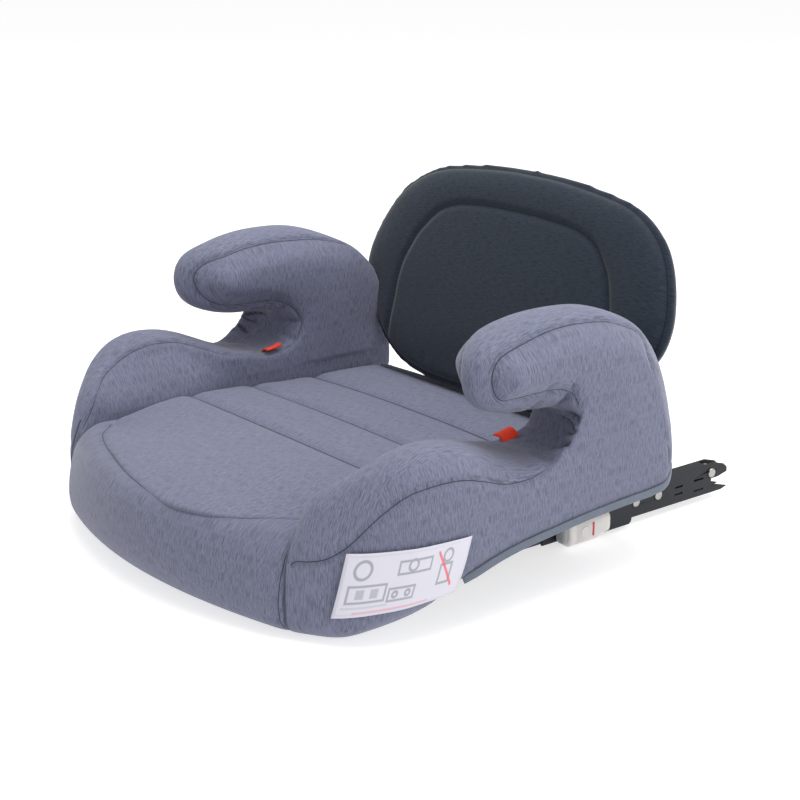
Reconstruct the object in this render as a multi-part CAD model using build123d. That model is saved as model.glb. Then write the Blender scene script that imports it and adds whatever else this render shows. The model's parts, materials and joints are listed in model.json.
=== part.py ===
from build123d import *
import math
import os

# Booster seat with a hinged backrest and sliding car-seat anchor connectors.
# Millimetres.  X is the width, -Y the front, +Z up; the origin is on the ground
# under the seat, on the plane of symmetry.  "Right" is +X.

# ---- overall sizes ------------------------------------------------------------
SEAT_HALF = 146.0            # centre to the inner face of an armrest
ARM_WIDTH = 74.0             # thickness of a covered armrest
FRONT_BOW = 37.0             # how far the front bulges ahead of its corners
FRONT_CORNER_Y = -106.0      # front corners, where the front and side panels meet
SEAM_HALF = 150.0            # centre to the upright seams of the front panel
SEAT_REAR_Y = 203.0          # rear edge of the seat pan
ARM_REAR_Y = SEAT_REAR_Y + 23.0   # rear face of an armrest
ARM_TOP_Z = 209.0            # crown of an armrest
DECK_Z = 63.0                # top of the moulded seat pan
PAD_EDGE_Z = 74.0            # underside of the quilted seat pad
PAD_TOP_Z = 87.0             # crown of the seat pad
FOAM_HALF = 138.0            # half width of the foam block under the pad
FOAM_FRONT_Y = -84.0

# ---- walls, gaps and fasteners ------------------------------------------------
WALL = 3.0                   # moulded plastic wall
PADDING = 12.0               # foam and fabric around an armrest frame
SLIDE_GAP = 0.3              # sliding clearance, each side
PIN_GAP = 0.05               # radial clearance of pins and rivets in their holes
SOFT_LIFT = 1.0              # fabric is held this far off the ground
SCREW_R = 2.0
SCREW_HEAD_R = 4.0
SCREW_HEAD_H = 2.4
ARM_SCREW_X = 167.0          # screws of the armrest frames
BOLSTER_LEAN = 26.0          # the frame stands back from the bolster, which leans outward
BOLSTER_REAR_Y = 60.0
FRAME_FRONT_Y = -76.0        # the front corners are foam ahead of the frames
TUCK = 26.0                  # the sides turn in this far at the ground
TUCK_Z = 36.0
BOLSTER_LOW_Z = 88.0
BELT_GAP_Z = 135.0           # height between the bolster and the arm over the belt notch
NOSE_REAR_Y = 84.0           # the arm keeps its full width behind here
NOSE_TIP_Y = 18.0

# ---- base tray ----------------------------------------------------------------
TRAY_HALF = 131.0
TRAY_FRONT_Y = -80.0
TRAY_TOP_Z = 40.0
FLANGE_HALF = 185.0          # side flanges of the pan that carry the armrests
FLANGE_INNER = 122.0
FOOT_TOP_Z = 84.0            # feet of the armrest frames end inside the frames
TRAY_SCREWS = [(95, -60), (45, -60), (95, 45), (95, SEAT_REAR_Y - 16)]
PULL_SLOT_HALF = 34.0        # half width of the opening for the pull handle

# ---- anchor connectors --------------------------------------------------------
ANCHOR_HALF = 140.0          # half of the 280 mm anchor spacing
BAR_WIDTH = 12.0             # width of one folded steel connector
BAR_LOW_Z = 6.0
BAR_TOP_Z = 32.0
PLATE = 2.0                  # steel sheet
RETRACT = 70.0               # slide travel into the base
SLEEVE_FRONT_Y = SEAT_REAR_Y - 1.5
SLEEVE_REAR_Y = SEAT_REAR_Y + 31.0
BAR_TIP_Y = SLEEVE_REAR_Y + 119.0
HOUSING_REAR_Y = SLEEVE_FRONT_Y - 0.5
HOUSING_FRONT_Y = HOUSING_REAR_Y - 44.0
HOUSING_LOW_Z = 4.0
HOUSING_TOP_Z = 25.0
HOUSING_WIDTH = 14.0
HOUSING_WALL = 2.0
ROD_GUIDE_Y = HOUSING_FRONT_Y + 13.0   # inner wall that guides the pull rod
ROD_R = 1.5
ROD_X = 6.0                  # pull rod, measured out from the connector
BUTTON_FRONT_Y = HOUSING_FRONT_Y - 4.0
FLAG_Y = HOUSING_FRONT_Y + 24.5
TUBE_Y = HOUSING_FRONT_Y - 5.0
TUBE_Z = 19.0
TUBE_R = 8.0
BAR_FRONT_Y = TUBE_Y - 12.0
HOOK_Y = BAR_TIP_Y - 21.0
HOOK_Z = 24.0
HOOK_HALF = 2.5              # half thickness of the hook and of the trigger
RIVET_R = 3.0
RIVET_HEAD_R = 4.0
RIVET_HEAD_H = 2.0
RIVET_PLACES = [(BAR_TIP_Y - 85, 19.0), (BAR_TIP_Y - 111, 19.0)]
LANCES = [(64, 55, 20), (64, 55, 14), (41, 30, 21), (41, 30, 12)]   # slots: back from the tip, height
LANCE_HALF = 0.8
JAW_ROOT_Y = BAR_TIP_Y - 20.0
JAW_LIP_Y = BAR_TIP_Y - 12.0
JAW_Z = 15.0
JAW_HEIGHT = 7.0

# ---- adjuster under the front ---------------------------------------------------
RAIL_X = 120.0
SLIDE_BAR_W = 6.0
SLIDE_BAR_H = 14.0
SLIDE_BAR_Z = 12.0
RAIL_REAR_Y = 60.0
RAIL_LENGTH = 120.0
STRIP_HALF = 12.0
STRIP_Z = 17.0
STRIP_T = 3.0
CAM_Y = -10.0
CAM_Z = 30.0
CAM_PIN_R = 3.0
CAM_HALF = 26.0              # half length of the cam, and of the handle
ARM_T = 4.0                  # levers of the cam and posts of the handle
CAM_CLEAR = 0.6              # the cam stands clear of the strip

# ---- backrest -------------------------------------------------------------------
BACK_Y = SEAT_REAR_Y - 9.0   # the front plane of the backrest passes here
BACK_Z = 100.0
BACK_LEAN = 19.0             # degrees back from upright
PAD_T = 27.0
PAD_CROWN = 9.0              # how far the pad's rim lies behind its front
PAD_EDGE = 16.0              # width of that rim
BACK_SEAM = 13.0             # widest part of the backrest, behind its front plane
BACK_TAPER = 24.0            # its rear is this much smaller all round
BOARD_T = 6.0
REAR_COVER_T = 7.0
HINGE_S = -26.0              # hinge axis, measured up the front plane
HINGE_DEPTH = 30.0           # hinge axis, measured behind the front plane
HINGE_X = 60.0
LUG_W = 12.0
LUG_R = 7.5
HINGE_PIN_R = 3.0
CHEEK_T = 4.0

BAR_OUT = ANCHOR_HALF + BAR_WIDTH / 2
BAR_IN = ANCHOR_HALF - BAR_WIDTH / 2
ARM_OUT = SEAT_HALF + ARM_WIDTH


# ---- small helpers --------------------------------------------------------------
def block(x0, x1, y0, y1, z0, z1):
    """Box between two corners."""
    return Pos((x0 + x1) / 2, (y0 + y1) / 2, (z0 + z1) / 2) * Box(x1 - x0, y1 - y0, z1 - z0)


def side_prism(face, x0, x1):
    """A side-view face (Y, Z) given thickness from x0 to x1."""
    return Pos(x0, 0, 0) * extrude(Plane.YZ * face, amount=x1 - x0)


def plan_prism(face, z0, z1):
    """A plan-view face (X, Y) given height from z0 to z1."""
    return Pos(0, 0, z0) * extrude(face, amount=z1 - z0)


def rod_x(x0, x1, y, z, radius):
    """Round rod across the seat."""
    return side_prism(Pos(y, z) * Circle(radius), x0, x1)


def rod_y(x, z, y0, y1, radius):
    """Round rod from front to rear."""
    return Pos(x, (y0 + y1) / 2, z) * Rot(90, 0, 0) * Cylinder(radius, y1 - y0)


def rod_z(x, y, z0, z1, radius):
    """Upright round rod."""
    return Pos(x, y, (z0 + z1) / 2) * Cylinder(radius, z1 - z0)


def other_side(shape):
    """The left-hand copy of a right-hand piece."""
    return mirror(shape, about=Plane.YZ)


def both_sides(shape):
    """A right-hand piece together with its left-hand copy."""
    return shape + other_side(shape)


def coil(pitch, length, radius, wire):
    """Helical spring standing on +Z from the origin."""
    path = Helix(pitch=pitch, height=length, radius=radius)
    section = Plane(origin=path @ 0, z_dir=path % 0) * Circle(wire)
    return sweep(section, path=path)


# ---- outlines -------------------------------------------------------------------
ARM_OVER = [
    (-108, SOFT_LIFT), (-112, 30), (-105, 62), (-92, 92), (-66, 116), (-34, 129), (0, 129),
    (34, 119), (69, 107), (94, 107), (110, 116), (114, 131), (106, 146), (84, 151),
    (48, 154), (26, 163), (18, 178), (26, 194), (54, 203), (96, ARM_TOP_Z),
    (140, 204), (ARM_REAR_Y - 46, 186), (ARM_REAR_Y - 16, 153), (ARM_REAR_Y - 3, 116),
    (ARM_REAR_Y, 84), (ARM_REAR_Y - 4, 66),
]
ARM_HEM = [
    (ARM_REAR_Y - 4, 66), (ARM_REAR_Y - 46, 60), (110, 55), (54, 50), (9, 40), (-24, 22),
    (-58, SOFT_LIFT),
]
ARM_NOSE = [(0.95, 60), (0.60, 36), (0.32, 22)]   # share of the half width, and Y
PAD_CORNER = (133, -82)      # where the front seam of the pad meets an armrest
PAD_SEAM_Y = -133            # that seam at the middle of the seat
BACK_HALF = [
    (70, -9), (115, 2), (152, 22), (176, 48), (187, 78), (185, 104), (163, 140), (128, 163), (80, 175),
]


def arm_face():
    """Side view of a covered armrest: bolster, belt notch, arm and rear column."""
    foot = Line(ARM_HEM[-1], ARM_OVER[0])
    return make_face(Curve() + [Spline(*ARM_OVER), Spline(*ARM_HEM), foot])


def inset_points(points, distance):
    """Each point of a closed clockwise outline moved inward, square to its neighbours."""
    moved = []
    for i, point in enumerate(points):
        before = Vector(*points[i - 1])
        after = Vector(*points[(i + 1) % len(points)])
        along = (after - before).normalized()
        moved.append(Vector(*point) + Vector(along.Y, -along.X) * distance)
    return moved


def core_points(inset):
    """Outline of the armrest frame in side view, inside the cover by an inset."""
    return inset_points(ARM_OVER[1:-1] + ARM_HEM[1:-2], inset)


def arm_plan(inset=0.0):
    """Plan view of a right armrest: a long round front corner and a short rear one."""
    corner_y = 25.0
    knee_y = FRONT_CORNER_Y + 31 + inset
    front_y = FRONT_CORNER_Y + inset
    corner_r = 40.0 - inset
    x0 = SEAT_HALF + inset
    x1 = ARM_OUT - inset
    y1 = ARM_REAR_Y - inset
    front = Bezier((x0, front_y), (x1, knee_y), (x1, corner_y))
    side = Line((x1, corner_y), (x1, y1 - corner_r))
    rear = TangentArc((x1, y1 - corner_r), (x1 - corner_r, y1), tangent=(0, 1))
    back = Polyline((x1 - corner_r, y1), (x0, y1), (x0, front_y))
    return make_face(Curve() + [front, side, rear, back])


def nose_plan(inset=0.0):
    """Plan view of the arm over the belt notch, rounded to a nose at its front."""
    middle = SEAT_HALF + ARM_WIDTH / 2
    half = ARM_WIDTH / 2 - inset
    flanks = [(1.0, NOSE_REAR_Y)] + ARM_NOSE
    inner = [(middle - half * share, y + inset) for share, y in flanks]
    outer = [(middle + half * share, y + inset) for share, y in reversed(flanks)]
    front = Spline(*inner, (middle, NOSE_TIP_Y + inset), *outer)
    rest = Polyline(outer[-1], (outer[-1][0], ARM_REAR_Y), (inner[0][0], ARM_REAR_Y), inner[0])
    return make_face(Curve() + [front, rest])


def round_nose(solid, inset=0.0):
    """The solid with the front end of its arm rounded in plan."""
    tip = block(SEAT_HALF - 1, ARM_OUT + 1, 0, NOSE_REAR_Y + inset, BELT_GAP_Z, 300)
    return solid - (tip - plan_prism(nose_plan(inset), BELT_GAP_Z - 1, 301))


def bowed_plan(half, corner_y, bow, rear_y):
    """Plan area with a bowed front edge, straight sides and a straight rear."""
    front = ThreePointArc((-half, corner_y), (0, corner_y - bow), (half, corner_y))
    rest = Polyline((half, corner_y), (half, rear_y), (-half, rear_y), (-half, corner_y))
    return make_face(Curve() + [front, rest])


def pan_plan(inset=0.0):
    """Plan of the seat pan, or of its hollow when inset by a wall."""
    return bowed_plan(
        SEAT_HALF - inset, FRONT_CORNER_Y + 22 + inset, FRONT_BOW, SEAT_REAR_Y - inset
    )


def pad_plan():
    """Plan of the quilted pad, whose front seam is a deeper bow."""
    x, y = PAD_CORNER
    seam = ThreePointArc((-x, y), (0, PAD_SEAM_Y), (x, y))
    sides = Polyline(
        (x, y), (SEAT_HALF, y + 5), (SEAT_HALF, SEAT_REAR_Y),
        (-SEAT_HALF, SEAT_REAR_Y), (-SEAT_HALF, y + 5), (-x, y),
    )
    return make_face(Curve() + [seam, sides])


def back_face(inset=0.0):
    """Front view of the backrest on its own leaning plane."""
    left = [(-x, s) for x, s in BACK_HALF]
    right = [(x, s) for x, s in reversed(BACK_HALF)]
    outline = [(0, -10)] + left + [(0, 180)] + right
    return make_face(Spline(*inset_points(outline, inset), periodic=True))


def back_plane(depth=0.0):
    """Plane of the backrest's front, moved back by depth; local Y runs up it."""
    lean = math.radians(BACK_LEAN)
    rearward = Vector(0, math.cos(lean), -math.sin(lean))
    origin = Vector(0, BACK_Y, BACK_Z) + rearward * depth
    return Plane(origin=origin, x_dir=(1, 0, 0), z_dir=-rearward)


def back_slab(face, depth0, depth1):
    """Part of the backrest between two depths behind its front plane."""
    return extrude(back_plane(depth1) * face, amount=depth1 - depth0)


def back_taper(depth0, depth1):
    """Part of the backrest behind its widest seam, where it narrows to the rear."""
    rear = PAD_T + BOARD_T + REAR_COVER_T
    form = loft([back_plane(BACK_SEAM) * back_face(), back_plane(rear) * back_face(BACK_TAPER)])
    return form & back_slab(back_face(-5.0), depth0, depth1)


def hinge_axis():
    """(Y, Z) of the backrest hinge."""
    point = back_plane(HINGE_DEPTH).from_local_coords(Vector(0, HINGE_S, 0))
    return point.Y, point.Z


# ---- seat structure ---------------------------------------------------------------
def make_tray():
    """Open tray that rests on the vehicle seat."""
    outer = block(-TRAY_HALF, TRAY_HALF, TRAY_FRONT_Y, SEAT_REAR_Y, 0, TRAY_TOP_Z)
    inner = block(
        -TRAY_HALF + WALL, TRAY_HALF - WALL, TRAY_FRONT_Y + WALL, SEAT_REAR_Y - WALL,
        WALL, TRAY_TOP_Z + 1,
    )
    tray = fillet(outer.edges().filter_by(Axis.Z), 12) - fillet(inner.edges().filter_by(Axis.Z), 9)
    for x, y in TRAY_SCREWS:
        tray += both_sides(rod_z(x, y, 0, 8, 7))
    for x, y in TRAY_SCREWS:
        tray -= both_sides(rod_z(x, y, -1, WALL, SCREW_HEAD_R + 0.5))
        tray -= both_sides(rod_z(x, y, -1, 9, SCREW_R + PIN_GAP))
    slot_low = TUBE_Z - TUBE_R - 1
    slot_high = TUBE_Z + TUBE_R + 1
    slot_front = TUBE_Y - RETRACT - TUBE_R - 2
    tray -= block(-ARM_OUT, ARM_OUT, slot_front, TUBE_Y + TUBE_R + 2, slot_low, slot_high)
    tray -= block(-PULL_SLOT_HALF, PULL_SLOT_HALF, -58, -18, -1, WALL + 1)
    for y in (-45, 0, 90, 130, 170):
        rib = block(-88, 88, y, y + 2, WALL, 7)
        tray += rib - block(-PULL_SLOT_HALF, PULL_SLOT_HALF, y - 1, y + 3, 0, 8)
    return tray


def make_pan():
    """Moulded seat pan with side flanges, ribs and screw bosses."""
    pan = plan_prism(pan_plan(), DECK_Z - WALL, DECK_Z)
    skirt = plan_prism(pan_plan(), TRAY_TOP_Z, DECK_Z) - plan_prism(pan_plan(WALL), TRAY_TOP_Z, DECK_Z)
    nose = plan_prism(pan_plan(), 6, DECK_Z) - plan_prism(pan_plan(WALL), 6, DECK_Z)
    pan += skirt + (nose & block(-ARM_OUT, ARM_OUT, -200, TRAY_FRONT_Y - 5, 0, DECK_Z))
    flange = block(FLANGE_INNER, FLANGE_HALF, 20, SEAT_REAR_Y + 18, TRAY_TOP_Z, TRAY_TOP_Z + WALL)
    pan += both_sides(flange)
    for x in (20, 70, 112):
        pan += both_sides(block(x, x + 2, -70, SEAT_REAR_Y - WALL, 48, DECK_Z - WALL))
    for x, y in TRAY_SCREWS:
        pan += both_sides(rod_z(x, y, 8, DECK_Z - WALL, 5))
    for x, y in TRAY_SCREWS:
        pan -= both_sides(rod_z(x, y, 7, 32, SCREW_R + PIN_GAP))
    for y in arm_screw_rows():
        pan -= both_sides(rod_z(ARM_SCREW_X, y, TRAY_TOP_Z - 1, TRAY_TOP_Z + WALL + 1, SCREW_R + PIN_GAP))
    return pan


def arm_screw_rows():
    """Rows of the screws that hold an armrest frame."""
    return [60 + 40 * i for i in range(4)]


def arm_core(inset):
    """Solid armrest shape inside the cover by an inset."""
    face = make_face(Spline(*core_points(inset), periodic=True))
    core = side_prism(face, SEAT_HALF, ARM_OUT) & plan_prism(arm_plan(inset), 0, ARM_TOP_Z)
    core = round_nose(core, inset) - bolster_room(0) - tuck(inset)
    return core - block(SEAT_HALF, ARM_OUT, -200, FRAME_FRONT_Y, 0, 200)


def tuck(inset=0.0):
    """Wedge cut from the foot of a side, which turns in towards the ground."""
    wedge = Polyline((ARM_OUT - TUCK, 0), (ARM_OUT + 1, 0), (ARM_OUT + 1, TUCK_Z + 1), close=True)
    return Pos(-inset, 0, inset) * extrude(Plane.XZ * make_face(wedge), amount=-200, both=True)


def bolster_room(wall):
    """Room on the inner side of a frame where the bolster leans outward, with a wall round it."""
    return block(
        SEAT_HALF, SEAT_HALF + BOLSTER_LEAN + wall, -200, BOLSTER_REAR_Y + wall,
        BOLSTER_LOW_Z - wall, BELT_GAP_Z,
    )


def arm_foot():
    """Foot of the armrest frame, standing on the flange of the pan."""
    return block(SEAT_HALF + PADDING, FLANGE_HALF - 3, 40, SEAT_REAR_Y - 8, TRAY_TOP_Z + WALL, FOOT_TOP_Z)


def make_arm_frame():
    """Moulded armrest frame, open on its outer side, with stiffening ribs."""
    pocket = make_face(Polyline(*core_points(PADDING + WALL + 0.5), close=True))
    hollow = side_prism(pocket, SEAT_HALF + PADDING + WALL, ARM_OUT) - bolster_room(WALL)
    frame = arm_core(PADDING) - hollow
    foot = arm_foot()
    room = block(
        SEAT_HALF + PADDING + 14, ARM_OUT, 40 + WALL, SEAT_REAR_Y - 8 - WALL,
        TRAY_TOP_Z + 2 * WALL, FOOT_TOP_Z,
    )
    frame += foot - room
    for y in arm_screw_rows():
        frame -= rod_z(ARM_SCREW_X, y, TRAY_TOP_Z, 62, SCREW_R + PIN_GAP)
    return frame


def make_screws():
    """Screws through the tray into the pan."""
    one = Part()
    for x, y in TRAY_SCREWS:
        one += rod_z(x, y, 0.5, WALL, SCREW_HEAD_R) + rod_z(x, y, WALL, 28, SCREW_R)
    return both_sides(one)


def make_arm_screws():
    """Screws up through the flanges into the armrest frames."""
    one = Part()
    top = TRAY_TOP_Z
    for y in arm_screw_rows():
        one += rod_z(ARM_SCREW_X, y, top - SCREW_HEAD_H, top, SCREW_HEAD_R)
        one += rod_z(ARM_SCREW_X, y, top, 58, SCREW_R)
    return both_sides(one)


# ---- soft parts ---------------------------------------------------------------------
def make_foam():
    """Foam block between the pan and the quilted pad."""
    return block(-FOAM_HALF, FOAM_HALF, FOAM_FRONT_Y, SEAT_REAR_Y - 5, DECK_Z, PAD_EDGE_Z)


def make_seat_pad():
    """Quilted seat pad, crowned, with a bowed front edge."""
    front = (PAD_SEAM_Y - 1, 76)
    rear = (SEAT_REAR_Y, 79)
    top = Spline(front, (-100, 81), (-50, 85), (10, PAD_TOP_Z), (90, 85), (SEAT_REAR_Y - 33, 83), rear)
    sides = Polyline(rear, (SEAT_REAR_Y, PAD_EDGE_Z), (PAD_SEAM_Y - 1, PAD_EDGE_Z), front)
    slab = side_prism(make_face(Curve() + [top, sides]), -SEAT_HALF, SEAT_HALF)
    return slab & plan_prism(pad_plan(), 0, 200)


def make_front_panel():
    """Padded front, from the front seam of the pad down to the ground."""
    outer = bowed_plan(SEAM_HALF, FRONT_CORNER_Y, FRONT_BOW, -70)
    low = plan_prism(outer, SOFT_LIFT, DECK_Z) - plan_prism(pan_plan(), 0, DECK_Z)
    high = plan_prism(outer, DECK_Z, 78) - plan_prism(pad_plan(), DECK_Z, 90)
    panel = low + (high - block(-FOAM_HALF, FOAM_HALF, FOAM_FRONT_Y, 0, DECK_Z, PAD_EDGE_Z))
    panel -= plan_prism(pad_plan(), PAD_EDGE_Z, 90)
    under = make_face(Polyline((-150, -1), (-108, -1), (-150, 44), (-150, -1)))
    brow = make_face(Polyline((-150, 60), (-150, 90), (-126, 90), (-150, 60)))
    panel -= side_prism(under, -200, 200) + side_prism(brow, -200, 200)
    panel -= block(SEAT_HALF, 200, -104, 0, 0, 100) + block(-200, -SEAT_HALF, -104, 0, 0, 100)
    return panel


def make_arm_cover():
    """Padded cover of a right armrest, around its frame and foot."""
    cover = side_prism(arm_face(), SEAT_HALF, ARM_OUT) & plan_prism(arm_plan(), 0, 300)
    cover = round_nose(cover) - tuck() - (arm_core(PADDING) + arm_foot())
    cover -= block(0, SEAM_HALF, -200, -104, 0, 200)
    cover -= back_slab(back_face(-2.0), PAD_CROWN - 1, PAD_T + BOARD_T + REAR_COVER_T + 2)
    cover -= back_slab(back_face(PAD_EDGE - 2), -2, PAD_CROWN)
    return cover


def hem_path(lift):
    """Side view of the lower hem of an armrest cover."""
    points = [(214, 64), (180, 60), (110, 55), (54, 50), (9, 40)]
    return [(y, z - lift) for y, z in points]


def make_hem():
    """Edge binding along the lower hem of a right armrest cover."""
    upper = Spline(*hem_path(0.3))
    lower = Spline(*hem_path(4.3))
    ends = [Line(upper @ 0, lower @ 0), Line(upper @ 1, lower @ 1)]
    band = side_prism(make_face(Curve() + [upper, lower] + ends), ARM_OUT - 8, ARM_OUT - 2)
    return band & plan_prism(arm_plan(1.0), 0, 300)


def make_rear_binding():
    """Binding along the rear edge of the seat pad."""
    return rod_x(-FOAM_HALF, FOAM_HALF, SEAT_REAR_Y + 2.2, 77, 2)


def make_belt_tab():
    """Bright tab that marks the lap-belt route in the right notch."""
    tab = block(SEAT_HALF - 3.2, SEAT_HALF - 0.2, 92, 112, 98, 108)
    return fillet(tab.edges().filter_by(Axis.X), 2)


def make_label():
    """Sewn instruction label on the outside of the right armrest."""
    outside = plan_prism(arm_plan(-1.0) - arm_plan(), 20, 100)
    outline = make_face(Polyline((-84, 76), (4, 70), (-6, 38), (-88, 38), (-84, 76)))
    return outside & side_prism(outline, SEAT_HALF + 20, ARM_OUT + 5)


# ---- anchor connectors -----------------------------------------------------------------
def bar_outline():
    """Side view of a connector with its open jaw."""
    jaw_low = JAW_Z - JAW_HEIGHT / 2
    jaw_high = JAW_Z + JAW_HEIGHT / 2
    shape = Polyline(
        (BAR_FRONT_Y, BAR_LOW_Z), (BAR_TIP_Y - 7, BAR_LOW_Z), (BAR_TIP_Y, 8), (JAW_LIP_Y, jaw_low),
        (JAW_ROOT_Y, jaw_low), (JAW_ROOT_Y, jaw_high), (JAW_LIP_Y, jaw_high), (BAR_TIP_Y - 1, 21),
        (BAR_TIP_Y - 1, 25), (BAR_TIP_Y - 5, 28.5), (BAR_TIP_Y - 17, BAR_TOP_Z),
        (BAR_FRONT_Y, BAR_TOP_Z), (BAR_FRONT_Y, BAR_LOW_Z),
    )
    return make_face(shape)


def make_bar():
    """Folded steel connector: two side plates and a top web."""
    bar = side_prism(bar_outline(), BAR_IN, BAR_OUT)
    bar -= block(BAR_IN + PLATE, BAR_OUT - PLATE, BAR_FRONT_Y - 1, BAR_TIP_Y + 1, 0, BAR_TOP_Z - PLATE)
    bar -= block(BAR_IN + PLATE, BAR_OUT - PLATE, BAR_TIP_Y - 27, BAR_TIP_Y + 1, 0, BAR_TOP_Z + 1)
    holes = RIVET_PLACES + [(HOOK_Y, HOOK_Z)]
    for y, z in holes:
        bar -= rod_x(BAR_IN - 1, BAR_OUT + 1, y, z, RIVET_R + PIN_GAP)
    for back0, back1, z in LANCES:
        y0 = BAR_TIP_Y - back0
        y1 = BAR_TIP_Y - back1
        bar -= block(BAR_IN - 1, BAR_OUT + 1, y0, y1, z - LANCE_HALF, z + LANCE_HALF)
    return bar


def rivet(y, z):
    """Rivet across a connector, a dome head on each side."""
    shank = rod_x(BAR_IN, BAR_OUT, y, z, RIVET_R)
    heads = rod_x(BAR_OUT, BAR_OUT + RIVET_HEAD_H, y, z, RIVET_HEAD_R)
    heads += rod_x(BAR_IN - RIVET_HEAD_H, BAR_IN, y, z, RIVET_HEAD_R)
    rims = heads.edges().filter_by(GeomType.CIRCLE)
    outer = rims.group_by(Axis.X)[0] + rims.group_by(Axis.X)[-1]
    return shank + fillet(outer, 1.2)


def make_rivets():
    """Plain rivets that clinch a connector's two plates."""
    joined = Part()
    for y, z in RIVET_PLACES:
        joined += rivet(y, z)
    return joined


def make_hook_pin():
    """Front rivet, which is also the pin of the hook."""
    return rivet(HOOK_Y, HOOK_Z)


def make_hook():
    """Latch hook on the front rivet, drawn open."""
    finger = make_face(Polyline((-2, 3), (16, 3.4), (17, 0), (16.4, -2.6), (6, -3), (-2, 3)))
    plate = Circle(6) + finger - Circle(RIVET_R + PIN_GAP)
    return side_prism(Pos(HOOK_Y, HOOK_Z) * plate, ANCHOR_HALF - HOOK_HALF, ANCHOR_HALF + HOOK_HALF)


def make_trigger():
    """Plunger at the jaw's root that the anchor bar pushes in."""
    y0 = JAW_ROOT_Y - 11
    y1 = JAW_ROOT_Y + 2.5
    return block(ANCHOR_HALF - HOOK_HALF, ANCHOR_HALF + HOOK_HALF, y0, y1, JAW_Z - 2.4, JAW_Z + 1.6)


def rod_z_middle():
    """Height of the pull rod, at mid-height of the housing."""
    return (HOUSING_LOW_Z + HOUSING_TOP_Z) / 2


def make_housing():
    """Release housing on the outside of a connector, hollow towards it."""
    x1 = BAR_OUT + HOUSING_WIDTH
    outer = block(BAR_OUT, x1, HOUSING_FRONT_Y, HOUSING_REAR_Y, HOUSING_LOW_Z, HOUSING_TOP_Z)
    rim = outer.edges().filter_by(Axis.Y).group_by(Axis.X)[-1]
    outer = fillet(rim, 5)
    inner = block(
        BAR_OUT, x1 - HOUSING_WALL, HOUSING_FRONT_Y - 1,
        HOUSING_REAR_Y - HOUSING_WALL, HOUSING_LOW_Z + HOUSING_WALL, HOUSING_TOP_Z - HOUSING_WALL,
    )
    inner = fillet(inner.edges().filter_by(Axis.Y).group_by(Axis.X)[-1], 3)
    housing = outer - inner
    inside = x1 - HOUSING_WALL - 1
    y0 = ROD_GUIDE_Y
    housing += block(BAR_OUT, inside, y0, y0 + HOUSING_WALL, HOUSING_LOW_Z + 1, HOUSING_TOP_Z - 1)
    housing -= rod_y(BAR_OUT + ROD_X, rod_z_middle(), y0 - 1, y0 + 3, ROD_R + PIN_GAP)
    housing -= block(inside, x1 + 1, FLAG_Y - 1.3, FLAG_Y + 1.3, 9, 20)
    return housing


def button_section():
    """Cross-section of the release button inside its housing."""
    width = HOUSING_WIDTH - HOUSING_WALL - 2 * SLIDE_GAP
    height = HOUSING_TOP_Z - HOUSING_LOW_Z - 2 * HOUSING_WALL - 2 * SLIDE_GAP
    return RectangleRounded(width, height, 2.9)


def make_button():
    """Release button, a ribbed cap that is pressed rearward."""
    middle = rod_z_middle()
    y0 = BUTTON_FRONT_Y
    centre_x = BAR_OUT + (HOUSING_WIDTH - HOUSING_WALL) / 2
    plane = Plane(origin=(centre_x, y0, middle), x_dir=(1, 0, 0), z_dir=(0, 1, 0))
    cap = extrude(plane * button_section(), amount=10)
    for z in (middle - 4, middle, middle + 4):
        cap -= block(centre_x - 3, centre_x + 3, y0 - 1, y0 + 0.6, z - 0.7, z + 0.7)
    return cap


def make_pull_rod():
    """Rod behind the release button."""
    return rod_y(BAR_OUT + ROD_X, rod_z_middle(), BUTTON_FRONT_Y + 10, ROD_GUIDE_Y + 4, ROD_R)


def make_button_spring():
    """Return spring around the rod."""
    place = Pos(BAR_OUT + ROD_X, ROD_GUIDE_Y - 0.6, rod_z_middle()) * Rot(90, 0, 0)
    return place * coil(1.4, 5.8, 2.4, 0.35)


def make_flag():
    """Indicator flag behind the housing's window."""
    x1 = BAR_OUT + HOUSING_WIDTH - HOUSING_WALL - 1.1
    return block(x1 - 2.5, x1, FLAG_Y - 3, FLAG_Y + 5, 8, 21)


def make_sleeve():
    """Steel guide sleeve, fixed under the pan, that a connector slides through."""
    reach = RIVET_HEAD_H + SLIDE_GAP
    x0 = BAR_IN - reach
    x1 = BAR_OUT + reach
    z0 = BAR_LOW_Z - SLIDE_GAP
    z1 = BAR_TOP_Z + SLIDE_GAP
    outer = block(x0 - PLATE, x1 + PLATE, SLEEVE_FRONT_Y, SLEEVE_REAR_Y, z0 - PLATE, z1 + PLATE)
    low_rear = outer.edges().filter_by(Axis.X).group_by(Axis.Z)[0].sort_by(Axis.Y)[-1]
    sleeve = fillet(low_rear, 4) - block(x0, x1, SLEEVE_FRONT_Y - 1, SLEEVE_REAR_Y + 1, z0, z1)
    sleeve += block(x0, x1, SLEEVE_FRONT_Y + 2, SEAT_REAR_Y + 16, z1 + PLATE, TRAY_TOP_Z)
    return sleeve


def make_cross_tube():
    """Tube that joins the two connectors."""
    tube = rod_x(-BAR_IN, BAR_IN, TUBE_Y, TUBE_Z, TUBE_R)
    return tube - rod_x(-BAR_OUT, BAR_OUT, TUBE_Y, TUBE_Z, TUBE_R - PLATE)


def make_slide_bar():
    """Bar ahead of the cross tube that runs in a guide rail."""
    x0 = RAIL_X - SLIDE_BAR_W / 2
    bar = block(x0, x0 + SLIDE_BAR_W, 20, TUBE_Y, SLIDE_BAR_Z, SLIDE_BAR_Z + SLIDE_BAR_H)
    return bar - rod_x(0, BAR_OUT, TUBE_Y, TUBE_Z, TUBE_R)


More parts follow.
